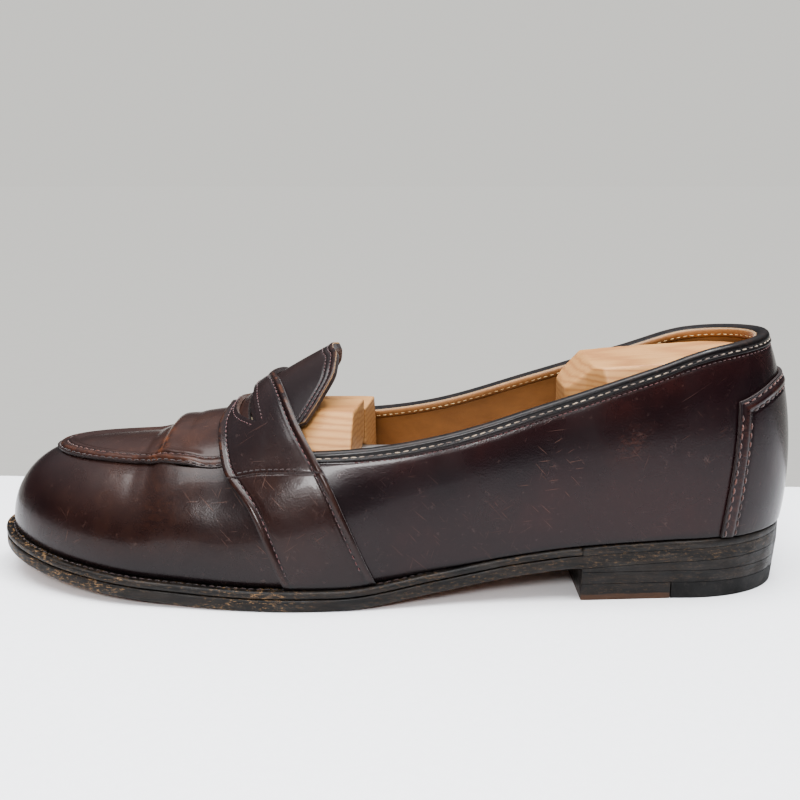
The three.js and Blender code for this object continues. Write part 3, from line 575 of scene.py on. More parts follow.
# ------------------------------------------------------------------ materials
def srgb(r, g, b):
    """A colour given as 0 to 255 display values, as linear light."""
    return tuple(((c / 255 + 0.055) / 1.055) ** 2.4 if c > 10 else c / 3294 for c in (r, g, b)) + (1,)


class Shader:
    """A node material being put together."""

    def __init__(self, name):
        self.material = bpy.data.materials.new(name)
        self.material.use_nodes = True
        self.tree = self.material.node_tree
        self.surface = self.tree.nodes["Principled BSDF"]
        self.place = self.node("TexCoord").outputs["Object"]

    def node(self, kind, settings=None, **inputs):
        made = self.tree.nodes.new("ShaderNode" + kind)
        for key, value in (settings or {}).items():
            setattr(made, key, value)
        for key, value in inputs.items():
            self.plug(value, made.inputs[int(key[1:]) if key[0] == "i" and key[1:].isdigit() else key])
        return made

    def plug(self, value, socket):
        if isinstance(value, bpy.types.NodeSocket):
            self.tree.links.new(value, socket)
        else:
            socket.default_value = value

    def set(self, **inputs):
        for key, value in inputs.items():
            self.plug(value, self.surface.inputs[key.replace("_", " ")])

    def scaled(self, size, turn=(0, 0, 0)):
        turned = self.node("Mapping", Vector=self.place, Rotation=turn).outputs[0]
        return self.node("Mapping", Vector=turned, Scale=size).outputs[0]

    def noise(self, scale, detail=4.0, rough=0.55, stretch=(1, 1, 1), turn=(0, 0, 0), warp=0.0):
        where = self.scaled(stretch, turn)
        return self.node(
            "TexNoise", Vector=where, Scale=scale, Detail=detail, Roughness=rough, Distortion=warp
        ).outputs[0]

    def ramp(self, value, *stops):
        made = self.node("ValToRGB", Fac=value)
        band = made.color_ramp
        while len(band.elements) < len(stops):
            band.elements.new(0.5)
        for element, (place, colour) in zip(band.elements, stops):
            element.position = place
            element.color = colour if hasattr(colour, "__len__") else (colour, colour, colour, 1)
        return made.outputs[0]

    def between(self, value, low, high, out_low=0.0, out_high=1.0):
        made = self.node(
            "MapRange", {"interpolation_type": "SMOOTHSTEP"}, Value=value,
            i1=low, i2=high, i3=out_low, i4=out_high,
        )
        return made.outputs[0]

    def math(self, how, a, b=0.0):
        return self.node("Math", {"operation": how}, i0=a, i1=b).outputs[0]

    def times(self, a, b):
        return self.math("MULTIPLY", a, b)

    def blend(self, share, a, b):
        made = self.node("Mix", {"data_type": "RGBA"}, i0=share)
        self.plug(a, made.inputs[6])
        self.plug(b, made.inputs[7])
        return made.outputs[2]

    def value(self, name):
        return self.node("Attribute", {"attribute_name": name}).outputs["Fac"]

    def relief(self, *layers):
        """Bump layers given as (height, strength, distance in metres)."""
        normal = None
        for height, strength, distance in layers:
            made = self.node("Bump", Height=height, Strength=strength, Distance=distance)
            if normal is not None:
                self.plug(normal, made.inputs["Normal"])
            normal = made.outputs[0]
        self.plug(normal, self.surface.inputs["Normal"])
        return normal


def scratches(s, amount):
    """Thin broken lines in several directions, where amount is high."""
    total = None
    for turn, scale in ((0.55, 78), (-0.75, 92), (1.25, 84), (0.12, 104), (2.3, 96)):
        line = s.noise(scale, 1, 0.4, stretch=(1.0, 0.6, 26), turn=(0, turn, 0), warp=0.2)
        line = s.between(line, 0.735, 0.77)
        total = line if total is None else s.math("MAXIMUM", total, line)
    patch = s.between(s.noise(30, 2, 0.5), 0.46, 0.62)
    return s.times(s.times(total, patch), amount)


def cordovan(name, deep, mid, brown, worn, rough=0.23):
    """Polished shell leather: deep colour, browner where rubbed, fine pores, soft waves and scratches."""
    s = Shader(name)
    cloud = s.between(s.noise(15, 5, 0.6, warp=0.5), 0.36, 0.66)
    colour = s.blend(cloud, srgb(*deep), srgb(*mid))
    mottle = s.between(s.noise(62, 6, 0.65), 0.45, 0.72)
    rub = s.times(s.value("brown"), s.math("ADD", 0.55, s.times(mottle, 0.6)))
    colour = s.blend(rub, colour, srgb(*brown))
    fray = s.between(s.noise(240, 6, 0.7, stretch=(1, 1, 2.4)), 0.42, 0.62)
    wear = s.times(s.value("worn"), fray)
    colour = s.blend(wear, colour, srgb(*worn))
    # painted shade: where the dark value is high the colour goes near-black, standing in for shade in seam
    # grooves, at joins and where the upper meets the welt
    colour = s.blend(s.value("dark"), colour, srgb(9, 7, 8))
    lines = scratches(s, s.value("scuff"))
    colour = s.blend(s.times(lines, 0.34), colour, srgb(120, 84, 68))
    dust = s.between(s.noise(420, 4, 0.7), 0.60, 0.74)
    colour = s.blend(s.times(dust, 0.10), colour, srgb(128, 104, 96))
    haze = s.between(s.noise(26, 4, 0.6, warp=0.4), 0.35, 0.7, rough, rough + 0.11)
    haze = s.math("ADD", haze, s.times(s.math("MAXIMUM", lines, wear), 0.22))
    s.set(Base_Color=colour, Roughness=haze, IOR=1.40, Coat_Weight=0.10, Coat_Roughness=0.06)
    s.set(Specular_IOR_Level=0.36)
    pores = s.node("TexVoronoi", Vector=s.place, Scale=1500.0).outputs["Distance"]
    s.relief(
        (s.noise(38, 3, 0.5, stretch=(1, 1, 0.7)), 0.10, 0.004),
        (s.noise(190, 4, 0.6), 0.05, 0.0009),
        (pores, 0.10, 0.0002),
        (s.math("ADD", lines, s.times(wear, 0.5)), 0.12, -0.0002),
    )
    return s.material


def rough_leather(name, light, dark, rough=0.7, scale=160, sheen=0.1):
    """Lining, flesh side and cut edges: fibrous, matt and uneven."""
    s = Shader(name)
    fibre = s.noise(scale, 6, 0.7, stretch=(1, 1, 1.8))
    stain = s.between(s.noise(24, 4, 0.6, warp=0.6), 0.35, 0.7)
    colour = s.blend(fibre, srgb(*dark), srgb(*light))
    colour = s.blend(s.times(stain, 0.55), colour, srgb(*dark))
    s.set(Base_Color=colour, Roughness=s.between(fibre, 0.3, 0.7, rough, rough + 0.15))
    s.set(Sheen_Weight=sheen, Sheen_Roughness=0.4)
    s.relief((s.noise(60, 3, 0.5), 0.12, 0.002), (s.noise(900, 4, 0.6), 0.25, 0.0003))
    return s.material


def thread(name, light, dark, rough=0.62):
    s = Shader(name)
    twist = s.node(
        "TexWave", {"bands_direction": "DIAGONAL"}, Vector=s.place, Scale=900.0, Distortion=1.5
    ).outputs[0]
    soil = s.between(s.noise(120, 4, 0.6), 0.35, 0.65)
    colour = s.blend(soil, srgb(*light), srgb(*dark))
    s.set(Base_Color=colour, Roughness=s.between(twist, 0, 1, rough, rough + 0.12), Sheen_Weight=0.3)
    s.relief((twist, 0.35, 0.0002), (s.noise(2500, 2, 0.5), 0.2, 0.0001))
    return s.material


def sole_edge(name, ink, grey, tan, layers=560.0, bare=None):
    """An inked leather edge: stacked fibres, waxy sheen, grey scuffs and tan where the ink is gone."""
    s = Shader(name)
    strata = s.noise(layers, 5, 0.65, stretch=(0.09, 0.09, 1))
    colour = s.blend(s.between(strata, 0.35, 0.7), srgb(*ink), srgb(ink[0] + 20, ink[1] + 15, ink[2] + 11))
    scuff = s.times(s.between(s.noise(170, 6, 0.7, stretch=(0.35, 0.35, 1.8)), 0.5, 0.68), 0.7)
    colour = s.blend(scuff, colour, srgb(*grey))
    fleck = s.between(s.noise(1150, 6, 0.8, stretch=(0.45, 0.45, 1.3)), 0.53, 0.62)
    gone = s.times(fleck, s.between(s.noise(60, 5, 0.65, stretch=(0.6, 0.6, 2)), 0.36, 0.58))
    gone = s.times(gone, s.value("worn"))
    colour = s.blend(gone, colour, srgb(*tan))
    if bare:
        height = s.node("SeparateXYZ", Vector=s.place).outputs["Z"]
        height = s.math("ADD", height, s.times(s.noise(110, 4, 0.6), 0.0024))
        brown = s.blend(s.noise(260, 5, 0.7, stretch=(0.3, 0.3, 2)), srgb(36, 24, 18), srgb(78, 54, 38))
        colour = s.blend(s.math("SUBTRACT", 1.0, s.between(height, bare, bare + 0.0007)), colour, brown)
    rough = s.between(s.noise(150, 5, 0.6), 0.3, 0.7, 0.36, 0.62)
    s.set(Base_Color=colour, Roughness=s.math("ADD", rough, s.times(gone, 0.3)))
    s.set(Specular_IOR_Level=0.26)
    s.relief(
        (strata, 0.35, 0.0004),
        (s.noise(85, 5, 0.6, stretch=(0.5, 0.5, 1.4)), 0.35, 0.0012),
        (fleck, 0.22, -0.0003),
    )
    return s.material


def rubber(name):
    s = Shader(name)
    dust = s.between(s.noise(260, 5, 0.7), 0.5, 0.72)
    colour = s.blend(s.times(dust, 0.4), srgb(14, 13, 13), srgb(58, 52, 48))
    s.set(Specular_IOR_Level=0.3)
    s.set(Base_Color=colour, Roughness=s.between(s.noise(90, 4), 0.3, 0.7, 0.6, 0.85))
    s.relief((s.noise(500, 4, 0.6), 0.3, 0.0004), (s.noise(90, 4, 0.6), 0.3, 0.001))
    return s.material


def metal(name, colour, dull, rough):
    s = Shader(name)
    lines = s.noise(260, 4, 0.6, stretch=(0.15, 1, 1))
    tarnish = s.between(s.noise(45, 5, 0.65), 0.42, 0.7)
    s.set(Base_Color=s.blend(tarnish, srgb(*colour), srgb(*dull)), Metallic=0.95)
    s.set(Roughness=s.between(lines, 0.3, 0.7, rough, rough + 0.2))
    s.relief((lines, 0.08, 0.0001), (tarnish, 0.05, 0.0001))
    return s.material


def cedar(name):
    """Sanded cedar: grain lines along the shoe, bent a little, with fine fibres and darker late wood."""
    s = Shader(name)
    sway = s.noise(9, 2, 0.5, stretch=(0.6, 1, 1))
    spread = s.node("VectorMath", {"operation": "MULTIPLY"}, i0=s.place, i1=(0.09, 0.55, 1.0)).outputs[0]
    wander = s.node("CombineXYZ", Z=s.times(sway, 0.016)).outputs[0]
    where = s.node("VectorMath", {"operation": "ADD"}, i0=spread, i1=wander).outputs[0]
    rings = s.node(
        "TexWave", {"wave_profile": "SIN", "bands_direction": "Z"}, Vector=where,
        Scale=150.0, Distortion=5.0, Detail=4.0,
    ).outputs[0]
    fibre = s.noise(420, 5, 0.7, stretch=(0.035, 1, 1))
    pores = s.between(s.noise(900, 3, 0.6, stretch=(0.05, 1, 1)), 0.58, 0.72)
    colour = s.ramp(
        rings, (0.0, srgb(178, 137, 90)), (0.5, srgb(173, 131, 84)), (0.9, srgb(160, 116, 72)),
        (1.0, srgb(152, 108, 66)),
    )
    colour = s.blend(s.times(fibre, 0.5), colour, srgb(152, 106, 64))
    colour = s.blend(s.times(pores, 0.35), colour, srgb(130, 82, 48))
    blush = s.between(s.noise(16, 3, 0.5, stretch=(0.4, 1, 1)), 0.4, 0.7)
    colour = s.blend(s.times(blush, 0.35), colour, srgb(170, 120, 76))
    s.set(Base_Color=colour, Roughness=s.between(fibre, 0.3, 0.7, 0.5, 0.64))
    s.relief((fibre, 0.12, 0.0003), (rings, 0.02, 0.0001), (pores, 0.1, -0.0002))
    return s.material


def fibre_sheet(name, light, dark, scale):
    s = Shader(name)
    weave = s.node("TexChecker", Vector=s.place, Scale=scale).outputs["Fac"]
    speck = s.noise(700, 5, 0.7)
    colour = s.blend(speck, srgb(*dark), srgb(*light))
    s.set(Base_Color=colour, Roughness=0.85)
    s.relief((weave, 0.08, 0.0002), (speck, 0.4, 0.0004))
    return s.material


shell = cordovan("cordovan_side", (17, 7, 9), (28, 13, 13), (50, 31, 24), (120, 72, 42))
shell_apron = cordovan("cordovan_apron", (24, 10, 10), (35, 17, 15), (56, 34, 25), (120, 70, 40), 0.24)
shell_back = cordovan("cordovan_quarter", (13, 5, 8), (23, 9, 12), (44, 20, 18), (104, 60, 42))
rolled = cordovan("cordovan_binding", (5, 4, 5), (9, 6, 8), (28, 14, 15), (70, 48, 36), 0.3)
flesh = rough_leather("flesh_side", (120, 84, 58), (78, 50, 36))
cut_dark = rough_leather("inked_cut_edge", (46, 28, 25), (20, 13, 13), 0.5)
cut_tan = rough_leather("raw_cut_edge", (168, 140, 104), (108, 82, 58), 0.72)
cut_brown = rough_leather("rubbed_cut_edge", (84, 52, 35), (40, 24, 18), 0.7)
ochre = rough_leather("lining_leather", (150, 104, 58), (106, 69, 38), 0.5, 90, 0.2)
tongue_back = rough_leather("tongue_underside", (96, 56, 40), (58, 32, 25), 0.5, 90, 0.2)
# painted highlight in part: this pale thread colour also stands in for the white glints on the topline
# stitches
glint_pale_thread = thread("pale_thread_painted_glint", (150, 134, 116), (70, 56, 50), 0.4)
rose = thread("dark_rose_thread", (76, 36, 36), (40, 18, 20))
tobacco = thread("brown_thread", (88, 50, 40), (46, 26, 23))
cream = thread("cream_thread", (206, 184, 140), (150, 120, 80))
black_thread = thread("dark_thread", (44, 22, 21), (20, 11, 12))
ink = sole_edge("inked_sole_edge", (11, 10, 10), (38, 35, 32), (140, 110, 78))
stack = sole_edge("inked_heel_stack", (11, 10, 10), (29, 27, 26), (92, 72, 54), 420.0)
worn_tip = sole_edge("worn_top_piece", (11, 10, 10), (29, 27, 26), (92, 72, 54), 420.0, 0.0030)
tread = sole_edge("tread_leather", (104, 68, 44), (120, 96, 76), (176, 136, 96), 300.0)
black_rubber = rubber("heel_rubber")
steel = metal("brushed_steel", (186, 188, 190), (140, 138, 134), 0.24)
brass = metal("brass", (196, 158, 84), (138, 104, 58), 0.3)
wood = cedar("cedar")
canvas = fibre_sheet("canvas", (204, 194, 170), (168, 154, 128), 1400.0)
board = fibre_sheet("fibre_board", (150, 118, 86), (112, 84, 60), 600.0)
cork = fibre_sheet("cork", (186, 140, 92), (120, 80, 48), 300.0)


# ------------------------------------------------------------------ upper: forepart
def zero(g):
    return np.zeros(g.S.shape)


def xs(g):
    return g.flat[..., 0]


def creases(g, depth=1.0):
    """The flex folds behind the toe, deepest on top and fading down the sides."""
    x, z = xs(g), g.R
    top = smooth(z, 0.42, 0.8)
    lean = x + 7 * (1 - z)
    out = -0.75 * bump(lean, at(0.222), 1.9) + 0.45 * bump(lean, at(0.238), 2.6)
    out += -0.28 * bump(lean, at(0.203), 1.5) - 0.22 * bump(lean, at(0.257), 1.7)
    low = 0.16 * np.sin(lean / 3.1 + 2.2 * z) * bump(lean, at(0.24), 13)
    return depth * (out * top + low * smooth(z, 0.15, 0.5))


vamp = Sheet(
    vamp_where, np.linspace(0, 1, 300), knots((0, 0.1, 0.86, 1), (8, 30, 14)),
    LEATHER_IN, LEATHER_OUT, lambda g: creases(g, 0.5),
)
x = xs(vamp)
obj = vamp.build("vamp_skirt", [shell, flesh, cut_dark], {
    "brown": 0.75 * bump(x, at(0.2), 34) * smooth(vamp.R, 0.05, 0.5) + 0.25 * bump(vamp.R, 0.2, 0.1),
    "worn": 0.05 * bump(x, at(0.23), 9) * bump(vamp.R, 0.42, 0.16),
    # painted shade: darker along the bottom edge where the vamp meets the welt, and in a band where the
    # apron's edge laps over it
    "dark": 0.8 * (1 - smooth(vamp.edge["t0"], 0.4, 2.6)) + 0.30 * bump(vamp.edge["t1"], 3.9, 1.0),
    "scuff": 0.75 * bump(vamp.R, 0.3, 0.25) + 0.2,
})
place_on(obj, "shoe", "cordovan", "vamp")


def rim_distance(g):
    return np.minimum(g.edge["t0"], g.edge["t1"])


def raise_fade(g):
    return 1 - smooth(x_of(g.U), LAP_END + 3, APRON_DOWN)


def apron_level(base, raised):
    def level(g):
        seam = apron_rise(x_of(g.U))
        band = rise_share(g.U, seam, 5.0)
        share = 1 - smooth(g.R, seam + band * 0.92, seam + band * 1.35)
        return mix(base, raised, share * raise_fade(g))

    return level


def apron_relief(g):
    d = rim_distance(g)
    seam = 0.42 * bump(d, 2.55, 1.15) - 0.34 * bump(d, 0.9, 0.45) - 0.42 * bump(d, 4.35, 0.55)
    return seam * mix(0.55, 1, raise_fade(g)) + creases(g, 1.15) * smooth(d, 3, 8)


apron = Sheet(
    apron_where, np.linspace(0, 1, 210), knots((0, 0.09, 0.18, 0.82, 0.91, 1), (22, 10, 40, 10, 22)),
    apron_level(LEATHER_IN, LAP_IN), apron_level(LEATHER_OUT, LAP_OUT), apron_relief,
)
x, d = xs(apron), rim_distance(apron)
lean = x + 7 * (1 - apron.R)
obj = apron.build("apron", [shell_apron, flesh, cut_dark], {
    "brown": 0.45 + 0.4 * bump(x, at(0.225), 22),
    "worn": 0.9 * bump(lean, at(0.229), 2.4) * bump(apron.R, 0.80, 0.12) + 0.16 * bump(d, 2.5, 1.2),
    # painted shade: darker at the apron's edge and in the seam groove 4.4 mm in
    "dark": 0.75 * bump(d, 0.0, 0.5) + 0.5 * bump(d, 4.4, 0.6),
    "scuff": 0.5 + zero(apron),
}, fold=True)
place_on(obj, "shoe", "cordovan", "apron_plug")
rows = [apron.row(e, 0.95, 0.06, 1.0) for e in ("t0", "t1")]
stitches("apron_seam_outer_stitches", rows, black_thread, 2.9, 0.78, 0.30, 0.16)
rows = [apron.row(e, 4.25, 0.06, 0.985) for e in ("t0", "t1")]
stitches("apron_seam_inner_stitches", rows, tobacco, 2.9, 0.80, 0.30, 0.14)

# ------------------------------------------------------------------ upper: tongue and strap
def tongue_relief(g):
    d = g.edge["s1"]
    return -0.25 * bump(d, 2.3, 0.5) - 0.22 * bump(d, 4.5, 0.5) + 0.2 * bump(d, 0.8, 0.9)


tongue = Sheet(
    tongue_where, knots((0, 0.55, 1), (14, 46)), np.linspace(0, 1, 150),
    LEATHER_OUT - 0.65, LEATHER_OUT, tongue_relief,
)
obj = tongue.build("tongue_flap", [shell, flesh, cut_tan], {
    "brown": 0.35 * bump(tongue.R, 1.0, 0.2),
    "worn": 0.15 * bump(tongue.edge["s1"], 0.4, 0.8),
    # painted shade: darker in the band of stitch grooves near the tongue's edge
    "dark": 0.35 * bump(tongue.edge["s1"], 3.4, 1.8),
    "scuff": 0.45 + zero(tongue),
})
place_on(obj, "shoe", "cordovan", "tongue")
rows = [tongue.row("s1", dist, 0.03, 0.97) for dist in (2.3, 4.5)]
stitches("tongue_stitches", rows, rose, 1.75, 0.74, 0.22, 0.1, 0.05)
inner_tongue = Sheet(
    tongue_where, np.linspace(0, 1.0, 60), np.linspace(0, 1, 110), BACKING_IN, LEATHER_OUT - 0.75
)
obj = inner_tongue.build("tongue_backing", [tongue_back, tongue_back, cut_dark], rounding=0.3)
place_on(obj, "shoe", "lining_leather", "tongue_lining")


def seam_line(S):
    """The rise of the seam between the strap's saddle and its side piece."""
    return 0.478 - 0.14 * S + 0.04 * S * S


def strap_relief(g):
    q = (g.R - seam_line(g.S)) / rise_share(g.U, g.R, 1.0)
    seam = 0.28 * (smooth(q, -0.15, 0.35) - smooth(q, 0.6, 9)) - 0.2 * bump(q, -0.3, 0.35)
    d = np.minimum(g.edge["s0"], g.edge["s1"])
    low = smooth(np.minimum(g.edge["t0"], g.edge["t1"]), 0, 5)
    bead = 0.42 * bump(d, 1.15, 0.95) - 0.36 * bump(d, 2.95, 0.5) - 0.12 * bump(d, 4.2, 1.0)
    return bead * low + seam


strap = Sheet(
    strap_where, knots((0, 0.16, 0.84, 1), (14, 26, 14)),
    knots((0, 0.17, 0.28, 0.72, 0.83, 1), (44, 90, 120, 90, 44)),
    LAP_IN, STRAP_OUT, strap_relief,
)
d = np.minimum(strap.edge["s0"], strap.edge["s1"])
ends = np.minimum(strap.edge["t0"], strap.edge["t1"])
strap_object = strap.build("strap", [shell, flesh, cut_dark], {
    "brown": 0.25 * bump(d, 1.2, 1.2) + 0.5 * bump(strap.R, 0.35, 0.2) + 0.2 * bump(strap.R, 1, 0.2),
    "worn": 0.30 * bump(d, 0.6, 0.7) * bump(strap.R, 0.8, 0.3),
    # painted shade: darker where the strap meets the welt, at its edges and in the stitch groove
    "dark": 0.75 * (1 - smooth(ends, 0.5, 3)) + 0.55 * bump(d, 3.0, 0.6) + 0.5 * bump(d, 0, 0.4),
    "scuff": 0.3 + 0.6 * bump(strap.R, 0.4, 0.2),
})
place_on(strap_object, "shoe", "cordovan", "saddle_strap")

SLOT_HALF, SLOT_FRONT, SLOT_REAR = 27.0, 5.6, 0.9
middle = strap.S.shape[0] // 2
across_run = strap.edge["t0"][middle]
strap_width = float(strap.edge["s0"][-1, strap.S.shape[1] // 2])


def slot_point(along, offset, height):
    """A point over the slot: along runs -1 to 1 across the instep, offset in mm towards the heel."""
    T = np.interp(across_run[-1] / 2 + along * SLOT_HALF, across_run, strap.T[middle])
    S = 0.56 + offset / strap_width + 0 * T
    return above(*strap_where(S, T), height + 0 * T)


def slot_lip(along, grow=0.0):
    fall = np.maximum(1 - along**2, 0)
    return -SLOT_FRONT * fall - 0.15 - grow, SLOT_REAR * fall + 0.15 + grow


tau = np.linspace(-1, 1, 61)
front, rear = slot_lip(tau)
rings = np.stack([
    slot_point(tau, front, 2.0), slot_point(tau, rear, 2.0),
    slot_point(tau, rear, 9.0), slot_point(tau, front, 9.0),
], 1)
carve(strap_object, loft("slot_cutter", rings, [cut_brown]), "DIFFERENCE", "TRANSFER")
rows = [strap.row(e, 2.95, 0.02, 0.98) for e in ("s0", "s1")]
stitches("strap_edge_stitches", rows, rose, 2.5, 0.74, 0.25, 0.12, 0.06)
rows = []
for side in (0, 1):
    S = np.linspace(0.13, 0.87, 60)
    u = strap_where(S, np.full(60, 0.3))[0]
    T = (seam_line(S) + rise_share(u, seam_line(S), 1.3)) / 2
    T = 1 - T if side else T
    rows.append(raised(lambda height: above(*strap_where(S, T), height), STRAP_OUT + 0.22))
stitches("strap_side_seam_stitches", rows, black_thread, 2.3, 0.76, 0.27, 0.14, 0.06)
rows = []
wide = np.linspace(-1.03, 1.03, 121)
for lip in slot_lip(np.clip(wide, -1, 1), 1.3):
    rows.append(raised(lambda height: slot_point(wide, lip, height), STRAP_OUT))
stitches("slot_stitches", rows, rose, 1.9, 0.7, 0.2, 0.1, 0.05)

# ------------------------------------------------------------------ upper: back part
def part_nudge(side):
    def nudge(g, P):
        P = P.copy()
        end = g.S if side < 0 else 1 - g.S
        P[..., 1] += side * 0.15 * smooth(end, 0.9, 1)
        return P

    return nudge


for name, side in (("quarter_outer", -1), ("quarter_inner", 1)):
    half = 0 if side < 0 else 0.5
    panel = Sheet(
        lambda S, T: quarter_where(half + S / 2, T), np.linspace(0, 1, 220),
        knots((0, 0.08, 0.9, 1), (7, 40, 12)), LEATHER_IN, LEATHER_OUT,
        lambda g: -0.2 * bump(g.edge["t1"], 4.5, 0.6) + 0.10 * np.sin(xs(g) / 17 + 4 * g.R),
        part_nudge(side),
    )
    x, d = xs(panel), panel.edge["t1"]
    obj = panel.build(name + "_panel", [shell_back, flesh, cut_dark], {
        "brown": 0.5 * bump(d, 7, 5) + 0.35 * bump(panel.R, 0.12, 0.1) + 0.25 * bump(x, at(0.8), 22),
        "worn": 0.16 * bump(x - 9 * panel.T, at(0.77), 6) * bump(panel.T, 0.62, 0.07)
        + 0.10 * bump(d, 4.6, 0.8),
        # painted shade: darker along the bottom edge by the welt and in the groove under the topline
        # stitches
        "dark": 0.8 * (1 - smooth(panel.edge["t0"], 0.4, 2.8)) + 0.35 * bump(d, 4.5, 0.7),
        "scuff": 0.35 + 1.1 * bump(x, at(0.75), 30) * bump(panel.T, 0.55, 0.3),
    })
    place_on(obj, "shoe", "cordovan", name)
    rows = [panel.row("t1", 4.6, 0.10 if side < 0 else 0.0, 1.0 if side < 0 else 0.90)]
    stitches(name + "_topline_stitches", rows, rose, 2.0, 0.72, 0.22, 0.1, 0.05)


def counter_edge(g):
    return np.minimum(np.minimum(g.edge["s0"], g.edge["s1"]), g.edge["t1"])


def counter_relief(g):
    d = counter_edge(g)
    return 0.5 * bump(d, 3.5, 1.25) - 0.35 * bump(d, 1.4, 0.6) - 0.4 * bump(d, 5.6, 0.6)


counter = Sheet(
    counter_where, knots((0, 0.14, 0.86, 1), (30, 70, 30)), knots((0, 0.8, 1), (34, 30)),
    LAP_IN, LAP_OUT, counter_relief,
)
d = counter_edge(counter)
obj = counter.build("counter", [shell_back, flesh, cut_dark], {
    "brown": 0.2 * bump(d, 3.5, 1.4) + 0.45 * bump(counter.S, 0.22, 0.06) * bump(counter.T, 0.45, 0.12),
    "worn": 0.12 * bump(d, 3.4, 1.1),
    # painted shade: darker along the bottom edge by the welt, at the edges and in the groove of the inner
    # stitch row
    "dark": 0.75 * (1 - smooth(counter.edge["t0"], 0.4, 2.8))
    + 0.5 * bump(d, 5.7, 0.7) + 0.4 * bump(d, 0, 0.6),
    "scuff": 0.7 + zero(counter),
})
place_on(obj, "shoe", "cordovan", "counter_cover")


def framed(g, distance):
    """A line along the counter's front edge, its top and its other front edge."""
    S, T = g.S[:, 0], g.T[0]
    top, up = g.row("t1", distance)
    near = np.interp(distance, g.edge["s0"][:, -1], S)
    keep = (S >= near) & (S <= 1 - near)
    found = [(top[keep], up[keep])]
    for e in ("s0", "s1"):
        line, up = g.row(e, distance)
        keep = T <= np.interp(-distance, -g.edge["t1"][0], T)
        found.append((line[keep], up[keep]))
    return found


stitches("counter_outer_stitches", framed(counter, 1.4), tobacco, 3.3, 0.78, 0.36, 0.16)
stitches("counter_inner_stitches", framed(counter, 5.6), tobacco, 3.3, 0.78, 0.36, 0.16)

lining = Sheet(quarter_where, np.linspace(0, 1, 260), np.linspace(0, 1, 40), 0.0, LINING_OUT)
obj = lining.build("quarter_lining_leather", [ochre, ochre, cut_tan], rounding=0.2)
place_on(obj, "shoe", "lining_leather", "quarter_lining")

mouth = -station_at(strap_rear(MOUTH_RISE))
lowest = MOUTH_RISE - float(rise_share(mouth, MOUTH_RISE, BINDING_DEPTH))
start = float(station_at(strap_rear(lowest) + 7))
U = np.linspace(-start, start, 420)
END_STEP = float(rise_share(U, topline_rise(U), 1.0)[0])
OUT = LEATHER_OUT + 0.06


def on_edge(down, height):
    """A line along the topline. Its ends follow the strap's slanting rear edge."""
    end_x = float(strap_rear(MOUTH_RISE - max(down, 0) * END_STEP)) + 0.7
    along = U * float(station_at(end_x)) / start
    top = topline_rise(along)
    return above(along, top - down * rise_share(along, top, 1.0), height + 0 * along)


# The band's section, as distances below the topline and heights over the last.
profile = [(3.5, OUT), (3.5, OUT + 0.3), (3.3, OUT + 0.48), (2.9, OUT + 0.5), (2.6, OUT + 0.36)]
profile += [(2.3, OUT + 0.24), (2.0, OUT + 0.36), (1.5, OUT + 0.55), (0.9, OUT + 0.6), (0.3, OUT + 0.5)]
profile += [(-0.3, OUT + 0.1), (-0.75, OUT - 0.7), (-0.9, 2.4), (-0.85, 1.2), (-0.6, 0.4)]
profile += [(-0.55, 0.3), (-0.5, -0.45), (-0.1, -0.8), (0.8, -0.95), (BINDING_IN - 0.2, -0.95)]
profile += [(BINDING_IN, -0.75), (BINDING_IN, -0.45), (1.0, -0.45), (-CLEAR, -0.45), (-CLEAR, OUT)]
rings = np.stack([on_edge(a, b) for a, b in profile], 1)
kinds = [0] * len(profile)
kinds[14:16] = [1, 1]
kinds[16:21] = [2] * 5
even = np.ones(rings.shape[:2])
worn = [0.05] * 9 + [0.2] * 4 + [0.1] * (len(profile) - 13)
obj = loft("rolled_topline", rings, [rolled, cut_tan, ochre], kinds, {
    "brown": 0.1 * even, "worn": worn * even, "dark": 0.1 * even, "scuff": 0.2 * even,
})
place_on(obj, "shoe", "cordovan", "collar_binding")
# topline stitches in the pale thread, whose colour partly paints their glints
rows = [raised(lambda height: on_edge(2.3, height), OUT + 0.24)]
stitches("topline_stitches", rows, glint_pale_thread, 3.1, 0.74, 0.27, 0.12, 0.1)
rows = [raised(lambda height: on_edge(1.6, height), -0.95, step=-1)]
stitches("topline_inside_stitches", rows, cream, 2.6, 0.66, 0.2, 0.06, 0.08)

# ------------------------------------------------------------------ bottom: sole, welt and heel
BREAST, RUBBER = at(0.735), at(0.845)


def stations(first, final, count):
    """Stations from one X to another; None is the toe tip or the heel."""
    rear = 0.0 if final is None else float(station_at(final))
    front = 0.5 if first is None else float(station_at(first))
    return np.linspace(rear, front, count)


def wear_along(x):
    return 0.25 + 0.8 * (1 - smooth(x, at(0.3), at(0.45)))


def swept(name, ks, section, materials, kinds=None, span=(None, None), mirrored=False):
    """A body along the feather line. section lists (reach, height) functions of X."""
    sides = []
    for side in (-1, 1) if mirrored else (1,):
        points = []
        for reach, height in section:
            px, py = plan_edge(side * ks, reach(x_of(ks)))
            if span[0] is not None:
                px = np.maximum(px, span[0])
            if span[1] is not None:
                px = np.minimum(px, span[1])
            points.append(np.stack([px, py, height(px) + 0 * px], -1))
        sides.append(np.stack(points, 1))
    rings = np.concatenate([sides[0][:, ::-1], sides[1]], 1) if mirrored else sides[0]
    worn = wear_along(x_of(ks))[:, None] * np.ones(rings.shape[1])
    return loft(name, rings, materials, kinds, {"worn": worn})


def slab(name, first, final, section, materials, kinds, count):
    """A body across the whole width, from one X to another."""
    ks = stations(first, final, count)
    ks[0], ks[-1] = max(ks[0], 1e-4), min(ks[-1], 0.5 - 1e-4)
    return swept(name, ks, section, materials, kinds, (first, final), mirrored=True)


def r(offset):
    return lambda x: sole_reach(x) + offset


def over_heel(x):
    return smooth(x, BREAST - 8, BREAST + 2)


